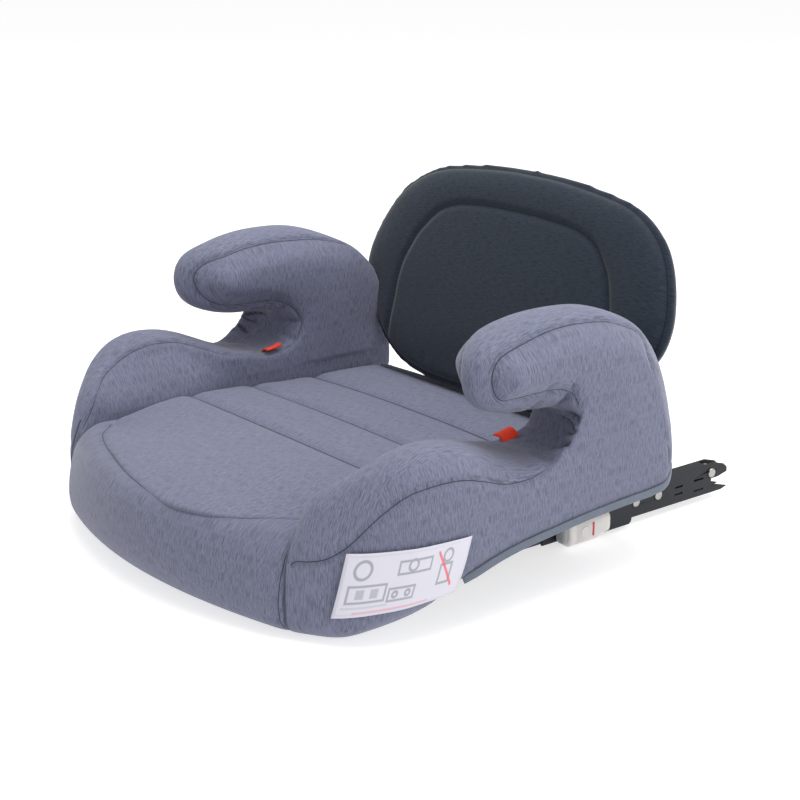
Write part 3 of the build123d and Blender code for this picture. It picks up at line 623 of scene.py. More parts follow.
def sew(piece, paths, panel=None, depth=None, width=None):
    """Pulls the surface in along its seams and paints how far each point is from one."""
    _, sizes, _ = settings()
    depth = sizes.depth if depth is None else depth
    width = sizes.width if width is None else width
    gap, side = seam_sides(piece, paths, panel)
    pull = depth * np.exp(-(gap / width) ** 2)
    set_points(piece, points_of(piece) - normals_of(piece) * pull[:, None])
    paint(piece, "seam", gap)
    paint(piece, "seam_side", side)
    return gap


def mirrored(piece, name):
    """The left copy of a right piece."""
    bm = bmesh.new()
    bm.from_mesh(piece.data)
    for vert in bm.verts:
        vert.co.x = -vert.co.x
    bmesh.ops.reverse_faces(bm, faces=bm.faces)
    mesh = bpy.data.meshes.new(name)
    bm.to_mesh(mesh)
    bm.free()
    for face in mesh.polygons:
        face.use_smooth = True
    mesh.materials.append(piece.data.materials[0])
    copy = bpy.data.objects.new(name, mesh)
    bpy.context.scene.collection.objects.link(copy)
    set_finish(copy, piece["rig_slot"])
    return copy


# ---- armrest shape -----------------------------------------------------------------------------
# Each row is one place round an armrest in side view (Y, Z, millimetres), clockwise from the
# front foot: on the crown, on the outer seam and on the inner seam.
ARM_ROWS = [
    ((-92, 1), (-92, 1), (-92, 1)), ((-104, 8), (-104, 8), (-104, 8)),
    ((-107, 22), (-107, 22), (-107, 22)), ((-106, 43), (-106, 43), (-106, 43)),
    ((-104, 58), (-103, 58), (-101, 62)), ((-98, 76), (-97, 60.5), (-95, 76)),
    ((-92, 89), (-90, 63.5), (-88, 87)), ((-83, 102), (-80, 72.5), (-79, 102)),
    ((-64, 117), (-63, 93), (-62, 113.5)), ((-42, 129), (-45, 107), (-40, 123)),
    ((-20, 133.5), (-26, 112), (-20, 127.5)), ((2, 132), (-4, 112.5), (4, 127)),
    ((20, 127.5), (16, 108), (22, 122)), ((36, 121), (36, 101.5), (37, 116)),
    ((52, 114), (53, 100), (52, 112)), ((70, 108.5), (68, 101.5), (69, 109)),
    ((92, 106), (81, 107.5), (89, 106.5)), ((107, 110), (93, 116), (108, 109)),
    ((114, 119), (102, 126), (119, 115.5)), ((114, 128), (107, 136), (124, 126)),
    ((109, 135), (107, 144.5), (120, 136)), ((98, 137.5), (102, 152.5), (112, 143.5)),
    ((82, 138), (91, 156.5), (101, 148.5)), ((65, 139.5), (73, 156.5), (84, 149)),
    ((49, 143), (56, 155.5), (65, 149)), ((35, 149), (45, 155.5), (49, 151)),
    ((26, 158.5), (39, 160), (38, 158)), ((22.5, 172), (35, 170), (31, 170)),
    ((25.5, 185), (36, 180), (32, 181.5)), ((34, 194.5), (43, 188.5), (41, 190)),
    ((50, 201), (58, 193.5), (57, 195)), ((73, 206.5), (83, 199.5), (78, 199)),
    ((101, 208.5), (109, 201.5), (109, 200)), ((132, 207), (140, 199), (143, 198)),
    ((160, 199.5), (164, 191), (168, 193)), ((184, 187), (176, 183), (191, 184)),
    ((205, 166), (182, 165), (209, 165)), ((218, 141), (188, 143), (219, 138)),
    ((224.5, 114), (196, 118), (222, 111)), ((226, 90), (203, 92), (224, 88)),
    ((222, 68), (203, 74), (221, 70)), ((206, 64), (196, 62.5), (206, 64)),
    ((180, 60), (180, 60.5), (180, 60)), ((110, 55), (110, 56), (110, 55)),
    ((54, 50), (54, 50), (54, 50)), ((9, 40), (9, 40.5), (9, 40)),
    ((-10, 29), (-10, 30), (-10, 29)), ((-28, 13), (-28, 14), (-28, 13)),
    ((-56, 1), (-52, 2), (-56, 1)), ((-75, 1), (-75, 1), (-75, 1)),
]
# How far the outer and inner seams stand in from the faces of the arm, by row, millimetres.
SEAM_INSETS = [
    (0, 0, 0), (14, 0, 0), (18, 2, 2), (20, 4, 4), (22, 9, 9), (24, 13, 14), (26, 15, 16), (28, 15, 16),
    (31, 14, 14), (33, 13, 14), (35, 10, 10), (37, 5, 4), (39, 1, 1), (40, 0, 0), (50, 0, 0),
]
RING_STEPS = 8                # samples between two rows of an armrest
PANEL_REACH = 30 * MM         # how far in from a seam the panel beside it is full
FIRST_SEAM_ROW = 4            # the gusset begins here, at the brow of the front
LAST_SEAM_ROW = 40            # and ends here, at the rear hem
NOTCH_ROWS = (13, 24)         # rows round the belt notch
GUSSET_STEEPNESS = 2.4
SEAM_REACH = 34 * MM          # how deep into a panel a seam's offset is felt


def corner_curve(y):
    """Half width of the seat at each Y round the front corner, a round quarter of plan."""
    front, knee, rear = -106 * MM, -75 * MM, 25 * MM
    a = front - 2 * knee + rear
    b = 2 * (knee - front)
    root = np.sqrt(np.maximum(b * b - 4 * a * (front - np.minimum(y, rear)), 0))
    t = np.clip((-b + root) / (2 * a), 0, 1)
    reach = ARM_OUTER - SEAM_X
    return SEAM_X + 2 * reach * t * (1 - t) + reach * t * t


def outer_x(y, z):
    """X of the outer face of the right side at each place, tucked in towards the ground."""
    tuck_y = 17 * MM * np.clip(1 - z / (12 * MM), 0, 1) ** 2
    tuck_x = 45 * MM * np.clip(1 - z / (62 * MM), 0, 1) ** 2.6
    plan = corner_curve(y - tuck_y)
    side = ARM_OUTER - tuck_x
    sharp = 300.0
    return -np.log(np.exp(-sharp * plan) + np.exp(-sharp * side)) / sharp


def inner_x(y, z):
    """X of the inner face of the right armrest, which leans out over the front bolster."""
    lean = blend01(y, -92 * MM, -62 * MM) * (1 - blend01(y, 5 * MM, 58 * MM))
    return SEAT_SIDE + 22 * MM * lean * blend01(z, 84 * MM, 128 * MM)


def arm_rings():
    """Crown, outer and inner curves of the armrest as close points, with matching places."""
    return [smooth_ring(np.array([row[k] for row in ARM_ROWS]) * MM, RING_STEPS) for k in range(3)]


def span(ring, first, last):
    """Part of a ring, from one row to another."""
    return ring[first * RING_STEPS:last * RING_STEPS + 1]


def seam_insets(index):
    """How far the outer and inner seams stand in from the faces at places round the armrest."""
    rows, outer, inner = np.array(SEAM_INSETS, float).T
    row = np.asarray(index) / RING_STEPS
    return np.interp(row, rows, outer) * MM, np.interp(row, rows, inner) * MM


def seam_path(ring, first, last, inner=False):
    """A seam in space, from one row of the armrest to another."""
    part = span(ring, first, last)
    y, z = part.T
    outer_in, inner_in = seam_insets(np.arange(len(part)) + first * RING_STEPS)
    x = inner_x(y, z) + inner_in if inner else outer_x(y, z) - outer_in
    return np.column_stack([x, y, z])


def make_armrest(material):
    """The right armrest cover: slab, seams laid over it, swelling, sewing and gathers."""
    crown, outer, inner = arm_rings()
    width = ARM_OUTER - SEAT_SIDE
    piece = slab_piece("armrest_padding_right", crown, width, material, "heather_fabric")
    # The slab's own U, V, W become Y, Z and the share of the way across.
    flat = points_of(piece)
    index, depth = nearest_index(flattened(flat), flattened(crown))
    share = np.clip(flat[:, 2] / width, 0, 1)
    outward = np.clip(2 * share - 1, 0, 1) ** GUSSET_STEEPNESS
    inward = np.clip(1 - 2 * share, 0, 1) ** GUSSET_STEEPNESS
    felt = 1 - blend01(depth, 0, SEAM_REACH)
    shift = (outer - crown)[index] * outward[:, None] + (inner - crown)[index] * inward[:, None]
    side = flat[:, :2] + shift * felt[:, None]
    y, z = side.T
    shoulder = np.clip(1 - depth / PANEL_REACH, 0, 1) ** 2
    outer_in, inner_in = seam_insets(index)
    low = inner_x(y, z) + inner_in * shoulder
    x = low + (outer_x(y, z) - outer_in * shoulder - low) * share
    set_points(piece, np.column_stack([x, y, z]))
    face_outwards(piece)
    relax(piece, 2)

    outer_seam = seam_path(outer, FIRST_SEAM_ROW, LAST_SEAM_ROW)
    inner_seam = seam_path(inner, FIRST_SEAM_ROW + 1, LAST_SEAM_ROW, inner=True)
    seams = [dense(path) for path in (outer_seam, inner_seam)]
    edges = [
        dense(seam_path(crown, 0, FIRST_SEAM_ROW + 1)),
        dense(seam_path(outer, LAST_SEAM_ROW, len(ARM_ROWS) - 1)),
        dense(seam_path(crown, 0, FIRST_SEAM_ROW + 1, inner=True)),
        dense(seam_path(inner, LAST_SEAM_ROW, len(ARM_ROWS) - 1, inner=True)),
    ]
    swell(piece, np.vstack(seams + edges))
    refine(piece)
    points = points_of(piece)
    beside_seat = points[:, 2] < 90 * MM
    points[beside_seat, 0] = np.maximum(points[beside_seat, 0], SEAT_SIDE + 0.2 * MM)
    points[:, 2] = np.maximum(points[:, 2], 0.6 * MM)
    set_points(piece, points)
    gather_notch(piece, crown, outer_seam, inner_seam)
    normals = normals_of(piece)
    panel = np.where(np.abs(normals[:, 0]) > 0.70, 1.0, -1.0)
    sew(piece, seams + [edges[2]], panel)
    x, y, z = points_of(piece).T
    paint(piece, "weave", np.column_stack([y, z, x * 0]))
    paint(piece, "weave_over", np.column_stack([x + 0.37, (y + z) * 0.7, x * 0]))
    clear_of(piece, frame["nodes"]["armrest_frame_right"], 1.2 * MM)
    return piece


def gather_notch(piece, crown, outer_seam, inner_seam):
    """Folds that fan from the mouth of the belt notch to the seams round it, with their valleys painted as
    shade in the crease attribute.
    """
    _, sizes, _ = settings()
    points = points_of(piece)
    index, _ = nearest_index(flattened(points[:, 1:]), flattened(crown))
    row = index / RING_STEPS
    to_outer = distance_to(points, dense(outer_seam))
    to_inner = distance_to(points, dense(inner_seam))
    first, last = NOTCH_ROWS
    zone = blend01(row, first + 1.5, first + 4) * (1 - blend01(row, last - 3.5, last))
    normals = normals_of(piece)
    gusset = 1 - blend01(np.abs(normals[:, 0]), 0.70, 0.93)
    draw = random.Random(11)
    fold = np.zeros(len(points))
    start = first + 2.6
    while start < last - 1.5:
        width = draw.uniform(0.15, 0.24)
        reach = draw.uniform(22, 40) * MM
        height = draw.uniform(0.75, 1.0)
        bend = draw.uniform(-0.25, 0.25)
        centre = start + bend * np.sin(to_outer / (14 * MM))
        crease = np.exp(-((row - centre) / width) ** 2)
        near = 1 - blend01(to_outer, reach * 0.5, reach)
        near = np.maximum(near, 0.6 * (1 - blend01(to_inner, reach * 0.3, reach * 0.8)))
        fold += height * crease * near
        start += draw.uniform(0.80, 1.25)
    away = blend01(np.minimum(to_outer, to_inner), 0.3 * MM, 2.5 * MM)
    crease = fold * zone * gusset * away
    set_points(piece, points - normals * (sizes.gather * crease)[:, None])
    # Dark line at the upright seam beside the front panel, partly its joint and partly painted shade.
    upright = np.exp(-((points[:, 0] - SEAM_X - 0.8 * MM) / (1.3 * MM)) ** 2)
    upright = upright * (points[:, 1] < -60 * MM) * (points[:, 2] < 82 * MM)
    # Painted shade: the crease attribute darkens the cloth in the fold valleys and along the upright seam line.
    paint(piece, "crease", np.maximum(crease, upright))


# ---- flat-sided padded pieces ---------------------------------------------------------------------
FRONT_ROWS = [               # height, Y at the middle and Y at the upright seams, millimetres
    (1, -108, -92), (6, -126, -104), (14, -136, -109), (28, -142, -110), (43, -143.5, -108),
    (57, -142.5, -104), (66, -140, -99), (72, -136.5, -93), (76, -132, -86), (78.5, -126, -78),
]
FRONT_SEAM = [               # seam between the seat pad and the front panel, X and Y, millimetres
    (-150, -64), (-133, -78), (-118, -93), (-95, -104), (-68, -113), (-29, -124), (14, -131), (44, -132.5),
    (74, -125), (92, -116), (106, -106), (118, -94), (133, -78), (150, -64),
]
SEAM_END = 133 * MM           # it meets an armrest here
PAD_CREST = [                # Y and height of the seat along its middle, millimetres
    (-133, 77), (-118, 80.5), (-95, 83), (-50, 85.5), (10, 87.5), (60, 86.5), (110, 84.5), (165, 82),
    (205, 78),
]
PAD_SIDES = [                # the same beside an armrest
    (-133, 72), (-80, 74), (-66, 78), (-50, 81), (-30, 85), (-8, 87), (14, 86.5), (60, 84), (108, 80),
    (165, 79), (205, 77),
]
QUILT_LINES = (5 * MM, 66 * MM, 132 * MM)


def seam_y(x):
    """Y of the seam between the front panel and the seat pad."""
    return look_up(FRONT_SEAM, x)


def look_up(rows, value, column=1):
    """Smooth value from a short table of rows."""
    curve = smooth_line(np.array(rows, float) * MM)
    return np.interp(value, curve[:, 0], curve[:, column])


def make_front(material):
    """Padded front panel between the two upright seams."""
    top_z = FRONT_ROWS[-1][0] * MM
    rows = [(y * MM, z * MM) for z, y, _ in FRONT_ROWS]
    inside = [(-84 * MM, top_z - 3.5 * MM), (-84 * MM, 40 * MM), (-98 * MM, 6 * MM)]
    face = [tuple(p) for p in smooth_line(rows, 6)] + inside
    piece = slab_piece("padded_front", face, 2 * SEAM_X - 0.6 * MM, material, "heather_fabric")
    flat = points_of(piece)
    y, z = flat[:, 0], flat[:, 1]
    x = flat[:, 2] - (SEAM_X - 0.3 * MM)
    share = np.clip(np.abs(x) / SEAM_X, 0, 1)
    middle = look_up(FRONT_ROWS, z, 1)
    edge = look_up(FRONT_ROWS, z, 2)
    front = blend01(y, -84 * MM, -100 * MM)
    y = y + (edge - middle) * share ** 2 * front
    above = blend01(z, 70 * MM, 78 * MM)
    y = np.where(above > 0, np.maximum(y, y * (1 - above) + above * np.minimum(y, seam_y(x))), y)
    set_points(piece, np.column_stack([x, y, z]))
    relax(piece, 2)
    across = np.linspace(-SEAM_END, SEAM_END, 60)
    arc = np.column_stack([across, seam_y(across), across * 0 + top_z - 1 * MM])
    rim = []
    for sign in (-1, 1):
        x = sign * (SEAM_X - 1.4 * MM)
        rim.append(np.array([(x, edge_y * MM, height * MM) for height, _, edge_y in FRONT_ROWS]))
    along = across * 1.1
    foot = np.column_stack([along, look_up([(-150, -92), (0, -108), (150, -92)], along), across * 0 + MM])
    seams = [dense(arc), dense(rim[0]), dense(rim[1])]
    swell(piece, np.vstack(seams + [dense(foot)]))
    refine(piece)
    points = points_of(piece)
    points[:, 0] = np.clip(points[:, 0], -SEAM_X, SEAM_X)
    points[:, 2] = np.maximum(points[:, 2], 0.5 * MM)
    set_points(piece, points)
    sew(piece, seams, depth=0.8 * MM)
    paint(piece, "weave", np.column_stack([points[:, 0], points[:, 2], points[:, 0] * 0]))
    return piece


def make_seat_pad(material):
    """Quilted seat pad: crowned, with channels sewn across it."""
    across = np.linspace(-SEAM_END, SEAM_END, 41)
    front = [(x, float(seam_y(np.array(x)))) for x in across]
    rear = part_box("seat_pad")[1].y + 1.5 * MM
    side = SEAT_SIDE - 0.4 * MM
    face = front + [(side, -74 * MM), (side, rear), (-side, rear), (-side, -74 * MM)]
    under = 73 * MM
    piece = slab_piece("quilted_seat_pad", face, 14 * MM, material, "heather_fabric")
    flat = points_of(piece)
    x, y, w = flat.T
    share = np.clip(np.abs(x) / side, 0, 1)
    top = look_up(PAD_CREST, y) * (1 - share ** 2.2) + look_up(PAD_SIDES, y) * share ** 2.2
    base = np.minimum(under, top - 6 * MM)
    z = base + (top - base) * w / (14 * MM)
    set_points(piece, np.column_stack([x, y, z]))
    relax(piece, 2)
    lines = []
    for line_y in QUILT_LINES:
        xs = np.linspace(-side, side, 80)
        zs = look_up(PAD_CREST, xs * 0 + line_y) * (1 - np.abs(xs / side) ** 2.2)
        zs = zs + look_up(PAD_SIDES, xs * 0 + line_y) * np.abs(xs / side) ** 2.2
        lines.append(np.column_stack([xs, xs * 0 + line_y, zs]))
    edge = np.array([(x, y, float(look_up(PAD_SIDES, y))) for x, y in face + face[:1]])
    quilt = np.vstack([dense(p) for p in lines])
    pins = np.vstack([quilt, dense(edge)])
    swell(piece, pins)
    refine(piece)
    points = points_of(piece)
    points[:, 0] = np.clip(points[:, 0], -SEAT_SIDE + 0.1 * MM, SEAT_SIDE - 0.1 * MM)
    upper = normals_of(piece)[:, 2] > 0.2
    wide = np.zeros(len(points))
    for line_y in QUILT_LINES:
        wide += 2.0 * MM * np.exp(-((points[:, 1] - line_y) / (7 * MM)) ** 2)
        wide += 0.9 * MM * np.exp(-((points[:, 1] - line_y) / (1.6 * MM)) ** 2)
    points[:, 2] -= wide * upper
    set_points(piece, points)
    sew(piece, [dense(edge)] + [dense(p) for p in lines], depth=0.5 * MM)
    paint(piece, "weave", np.column_stack([points[:, 0], points[:, 1], points[:, 0] * 0]))
    return piece


# ---- backrest ----------------------------------------------------------------------------------------
LEAN = math.radians(19)
BACK_FOOT = Vector((0, 194 * MM, 100 * MM))      # on the front plane of the backrest
BACK_UP = Vector((0, math.sin(LEAN), math.cos(LEAN)))
BACK_REARWARD = Vector((0, math.cos(LEAN), -math.sin(LEAN)))
BACK_HALF = [                # half outline on the leaning plane, millimetres, from the foot up
    (0, -16), (40, -16), (70, -15), (104, -9), (134, 5), (158, 27), (178, 50), (185.5, 66), (186.5, 84),
    (183, 100), (179, 112), (172, 127), (162, 141), (148, 153), (131, 163), (109, 170), (85, 174),
    (60, 177), (30, 179.5), (0, 180),
]
INNER_SEAM = [(126, -2), (126, 20), (127, 42), (129, 61), (128, 78), (123, 93), (117, 106), (110, 115),
              (103, 123), (94, 130), (79, 136), (60, 139.5), (30, 141.5), (0, 142)]
RIM_INSET = 4 * MM
WIDEST = 12 * MM             # depth of the widest part of the backrest
REAR_INSET = 24 * MM
BACK_CENTRE = 85 * MM
PAD_DEPTH = 34 * MM
SHELL_DEPTH = 7 * MM          # thickness of the rear cover
CUSHION_FALL = 9.5 * MM       # the cushion front falls away this far at its rim
CUSHION_SHOULDER = 24 * MM    # and this far in from it
REAR_FULLNESS = 40 * MM       # depth at which the rear has drawn in fully
HALF_WIDTH = 187 * MM
TOP_ABOVE_CENTRE = 95 * MM


def back_point(u, v, w):
    """Points on the leaning backrest: across, up and behind its front plane."""
    u, v, w = (np.asarray(a, float) for a in (u, v, w))
    foot, up, rearward = (np.array(a) for a in (BACK_FOOT, BACK_UP, BACK_REARWARD))
    across = np.zeros(u.shape + (3,))
    across[..., 0] = u
    return foot + across + v[..., None] * up + w[..., None] * rearward


def both_halves(points):
    """A full outline from its right half, which starts and ends on the middle line."""
    left = [(-x, y) for x, y in reversed(points[1:-1])]
    return [(x * MM, y * MM) for x, y in list(points) + left]


def narrowed(u, v, w):
    """The outline draws in behind the widest seam of the backrest."""
    inset = REAR_INSET * np.clip((w - WIDEST) / (REAR_FULLNESS - WIDEST), 0, 1) ** 1.15
    above = v - BACK_CENTRE
    height = BACK_CENTRE + above * (1 - inset / TOP_ABOVE_CENTRE * (above > 0))
    return u * (1 - inset / HALF_WIDTH), height


def rim_drop(distance):
    """How far the front of the cushion falls away at a distance in from its rim."""
    return CUSHION_FALL * np.clip(1 - distance / CUSHION_SHOULDER, 0, 1) ** 2.2


def make_backrest(material):
    """Front cushion of the backrest."""
    outline = smooth_ring(both_halves(BACK_HALF), 4)
    piece = slab_piece("backrest_cushion", outline, PAD_DEPTH, material, "dark_fabric")
    flat = points_of(piece)
    u, v, w = flat.T
    rim = distance_to(flattened(flat), dense(flattened(outline), 0.001, True))
    drop = rim_drop(rim)
    front = 1 - w / PAD_DEPTH
    w = w + drop * front
    u, v = narrowed(u, v, w)
    set_points(piece, back_point(u, v, w))
    face_outwards(piece)
    relax(piece, 2)
    inner = smooth_line([(x * MM, y * MM) for x, y in INNER_SEAM])
    inner = np.vstack([inner, inner[::-1][1:] * (-1, 1)])
    inner_line = back_point(inner[:, 0], inner[:, 1], inner[:, 0] * 0 + 0.3 * MM)
    out = outline - (0, BACK_CENTRE)
    length = np.linalg.norm(out, axis=1)[:, None]
    rim_line = outline - out / length * RIM_INSET
    rim_path = back_point(rim_line[:, 0], rim_line[:, 1], rim_line[:, 0] * 0 + rim_drop(RIM_INSET * 0.9))
    rear_u, rear_v = narrowed(outline[:, 0], outline[:, 1], outline[:, 0] * 0 + PAD_DEPTH)
    rear_path = back_point(rear_u, rear_v, outline[:, 0] * 0 + PAD_DEPTH)
    seams = [dense(inner_line), dense(rim_path, closed=True)]
    swell(piece, np.vstack(seams + [dense(rear_path, closed=True)]))
    refine(piece)
    sew(piece, seams, depth=2.4 * MM, width=3.2 * MM)
    points = points_of(piece)
    local = points - np.array(BACK_FOOT)
    paint(piece, "weave", np.column_stack([local @ np.array(BACK_UP), points[:, 0], points[:, 0] * 0]))
    return piece


def make_back_shell(material):
    """Rear cover of the backrest, a shallow pad with one seam round it."""
    outline = smooth_ring(both_halves(BACK_HALF), 4)
    piece = slab_piece("backrest_rear_pad", outline, SHELL_DEPTH, material, "dark_fabric")
    flat = points_of(piece)
    u, v, w = flat.T
    rim = distance_to(flattened(flat), dense(flattened(outline), 0.001, True))
    rise = 3.5 * MM * np.clip(1 - rim / (26 * MM), 0, 1) ** 2
    w = w - rise * (w / SHELL_DEPTH) + PAD_DEPTH - 0.6 * MM
    u, v = narrowed(u, v, w)
    set_points(piece, back_point(u, v, w))
    face_outwards(piece)
    relax(piece, 1)
    refine(piece)
    band = outline * 0.74 + np.array([0, BACK_CENTRE]) * 0.26
    seams = dense(back_point(band[:, 0], band[:, 1], band[:, 0] * 0 + PAD_DEPTH + SHELL_DEPTH), closed=True)
    sew(piece, [seams], depth=1.2 * MM, width=2.5 * MM)
    points = points_of(piece)
    local = points - np.array(BACK_FOOT)
    paint(piece, "weave", np.column_stack([local @ np.array(BACK_UP), points[:, 0], points[:, 0] * 0]))
    return piece


# ---- trims --------------------------------------------------------------------------------------------
def tape_along(name, path, half_height, half_thickness, material, slot_name):
    """A flat tape with rounded edges along a path, standing upright."""
    curve = bpy.data.curves.new(name, "CURVE")
    curve.dimensions = "3D"
    curve.twist_mode = "Z_UP"
    curve.extrude = half_height - half_thickness
    curve.bevel_depth = half_thickness
    curve.bevel_resolution = 2
    curve.use_fill_caps = True
    line = curve.splines.new("POLY")
    line.points.add(len(path) - 1)
    for point, place in zip(line.points, path):
        point.co = (*place, 1)
    drawn = bpy.data.objects.new(name + "_line", curve)
    bpy.context.scene.collection.objects.link(drawn)
    bpy.context.view_layer.update()
    mesh = bpy.data.meshes.new_from_object(drawn.evaluated_get(bpy.context.evaluated_depsgraph_get()))
    bpy.data.objects.remove(drawn)
    bm = bmesh.new()
    bm.from_mesh(mesh)
    bmesh.ops.remove_doubles(bm, verts=bm.verts, dist=1e-6)
    bpy.data.meshes.remove(mesh)
    return new_piece(name, bm, material, slot_name)


def make_hem(material):
    """Tape sewn along the lower hem of the right side."""
    hem = [(1, 39.5), (9, 43), (30, 49.5), (54, 54), (80, 57), (110, 60), (145, 62.5),
           (180, 64), (197, 66), (207, 70), (214, 76)]
    line = smooth_line(np.array(hem) * MM, 6)
    y, z = line.T
    x = outer_x(y, z) + 0.9 * MM - 2.5 * MM * np.clip(1 - (y - 1 * MM) / (12 * MM), 0, 1) ** 2
    turn = np.clip((y - 190 * MM) / (24 * MM), 0, 1)
    x = x - 11 * MM * turn ** 2
    path = np.column_stack([x, y, z - 2.2 * MM])
    return tape_along("hem_tape_right", path, 2.9 * MM, 1.1 * MM, material, "binding_tape")


def make_rear_tape(material):
    """Tape along the rear edge of the seat pad."""
    low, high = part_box("rear_binding")
    xs = np.linspace(low.x, high.x, 40)
    middle = (low + high) / 2
    path = np.column_stack([xs, xs * 0 + middle.y, middle.z + 0.6 * MM * np.sin(xs * 60)])
    return tape_along("rear_edge_tape", path, 2.6 * MM, 1.3 * MM, material, "binding_tape")


def make_tab(material):
    """Folded bright webbing tab at the belt notch, right side."""
    bm = bmesh.new()
    bmesh.ops.create_grid(bm, x_segments=10, y_segments=6, size=0.5)
    inner, outer = (np.array(p) * MM for p in TAB_EDGES)
    for vert in bm.verts:
        along, over = vert.co.x + 0.5, vert.co.y + 0.5
        edge = inner[0] + (inner[1] - inner[0]) * along
        free = outer[0] + (outer[1] - outer[0]) * along
        place = edge + (free - edge) * over
        place[2] += (1.6 * math.sin(math.pi * over) - 0.5 * math.sin(math.pi * along)) * MM
        vert.co = place
    bmesh.ops.recalc_face_normals(bm, faces=bm.faces)
    bmesh.ops.solidify(bm, geom=bm.faces[:], thickness=1.4 * MM)
    piece = new_piece("belt_guide_tab_right", bm, material, "red_webbing")
    round_edges(piece, 0.4 * MM, 2)
    return piece


# Folded edge and free edge of the tab, front to rear, millimetres.
TAB_EDGES = (((147, 86, 108), (147, 102, 111)), ((158, 87, 104.5), (158, 102, 107.5)))
LABEL_CORNERS = ((-80, 70), (4, 71.5), (-10, 32), (-88, 23))   # front top, rear top, rear foot, front foot


def make_label(material):
    """Sewn label lying on the outside of the right armrest, slightly wavy."""
    columns, rows = 44, 18
    bm = bmesh.new()
    bmesh.ops.create_grid(bm, x_segments=columns, y_segments=rows, size=0.5)
    layer = bm.verts.layers.float_vector.new("label_place")
    front_top, rear_top, rear_foot, front_foot = (np.array(c) * MM for c in LABEL_CORNERS)
    for vert in bm.verts:
        s, t = vert.co.x + 0.5, vert.co.y + 0.5
        vert[layer] = (s, t, 0)
        top = front_top + (rear_top - front_top) * s
        foot = front_foot + (rear_foot - front_foot) * s
        y, z = foot + (top - foot) * t
        x = float(outer_x(np.array(y), np.array(z)))
        wave = 0.9 * MM * math.sin(7 * s + 1.5) * (1 - t) + 0.5 * MM * math.sin(15 * s)
        lift = 1.8 * MM + wave * 0.5 + 1.2 * MM * (1 - t) ** 2 + 0.8 * MM * math.sin(math.pi * t)
        vert.co = (x + lift, y - lift * 0.5 * (1 - s), z)
    bmesh.ops.recalc_face_normals(bm, faces=bm.faces)
    piece = new_piece("sewn_side_label", bm, material, "label_cloth")
    thick = piece.modifiers.new("thick", "SOLIDIFY")
    thick.thickness = 0.45 * MM
    thick.offset = 1
    return piece


def round_edges(piece, width, segments=2):
    """Small round edges that catch the light."""
    bevel = piece.modifiers.new("edges", "BEVEL")
    bevel.width = width
    bevel.segments = segments
    bevel.limit_method = "ANGLE"
    bevel.angle_limit = math.radians(35)
    bevel.harden_normals = False


# ---- release housings -----------------------------------------------------------------------------------
def barrel(bm, sections):
    """A closed barrel along Y: each section is (Y, half width, half height, centre X, centre Z)."""
    rings = []
    for y, half_x, half_z, cx, cz in sections:
        made = bmesh.ops.create_circle(bm, cap_ends=False, segments=40, radius=1.0)
        for vert in made["verts"]:
            angle = math.atan2(vert.co.y, vert.co.x)
            c, s = math.cos(angle), math.sin(angle)
            fullness = (abs(c) ** 3.2 + abs(s) ** 3.2) ** (-1 / 3.2)
            vert.co = (cx + half_x * fullness * c, y, cz + half_z * fullness * s)
        rings.append([e for e in bm.edges if all(v in made["verts"] for v in e.verts)])
    for first, second in zip(rings, rings[1:]):
        bmesh.ops.bridge_loops(bm, edges=first + second)
    for ring in (rings[0], rings[-1]):
        bmesh.ops.contextual_create(bm, geom=ring)


def make_housing(material, band, sign, side):
    """White release housing with an end band, a window line and a chamfered rear."""
    low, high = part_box(f"release_housing_{side}")
    cx, cz = (low.x + high.x) / 2, (low.z + high.z) / 2
    hx, hz = (high.x - low.x) / 2 - 0.1 * MM, (high.z - low.z) / 2
    y0, y1 = low.y, high.y
    groove = y0 + 8 * MM
    sections = [
        (y0, hx - 0.9 * MM, hz - 0.9 * MM, cx, cz), (y0 + 0.9 * MM, hx, hz, cx, cz),
        (groove - 0.5 * MM, hx, hz, cx, cz), (groove - 0.3 * MM, hx - 0.5 * MM, hz - 0.5 * MM, cx, cz),
        (groove + 0.3 * MM, hx - 0.5 * MM, hz - 0.5 * MM, cx, cz), (groove + 0.5 * MM, hx, hz, cx, cz),
        (y1 - 14 * MM, hx, hz, cx, cz), (y1 - 5 * MM, hx, hz - 1.6 * MM, cx, cz + 1.6 * MM),
        (y1 - 1.2 * MM, hx, hz - 1.8 * MM, cx, cz + 1.8 * MM),
        (y1, hx - 1.2 * MM, hz - 3 * MM, cx, cz + 1.8 * MM),
    ]
    bm = bmesh.new()
    barrel(bm, sections)
    shell = new_piece(f"release_housing_shell_{side}", bm, material, "housing_white")
    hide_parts(f"release_housing_{side}")
    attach(shell, "connectors")

    bm = bmesh.new()
    face = cx + sign * hx
    flag_y = sum(corner.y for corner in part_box(f"indicator_flag_{side}")) / 2 - 1 * MM
    bmesh.ops.create_cube(bm, size=1.0)
    for vert in bm.verts:
        x, y, z = vert.co * MM
        vert.co = (face + sign * 0.1 * MM + x * 0.7, flag_y + y * 1.7, cz + 0.4 * MM + z * 11)
    window = new_piece(f"indicator_line_{side}", bm, band, "indicator_red", smooth=False)
    round_edges(window, 0.25 * MM)
    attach(window, "connectors")

    bm = bmesh.new()
    made = bmesh.ops.create_circle(bm, cap_ends=True, segments=36, radius=4.2 * MM)
    extruded = bmesh.ops.extrude_face_region(bm, geom=bm.faces[:])
    bmesh.ops.translate(bm, verts=[v for v in extruded["geom"] if isinstance(v, bmesh.types.BMVert)],
                        vec=(0, 0, 0.5 * MM))
    for vert in bm.verts:
        x, y, z = vert.co
        vert.co = (face + sign * (z - 0.15 * MM), y0 + 15.5 * MM + x, cz + y)
    boss = new_piece(f"housing_round_boss_{side}", bm, material, "housing_white", smooth=False)
    round_edges(boss, 0.2 * MM)
    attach(boss, "connectors")
    return shell


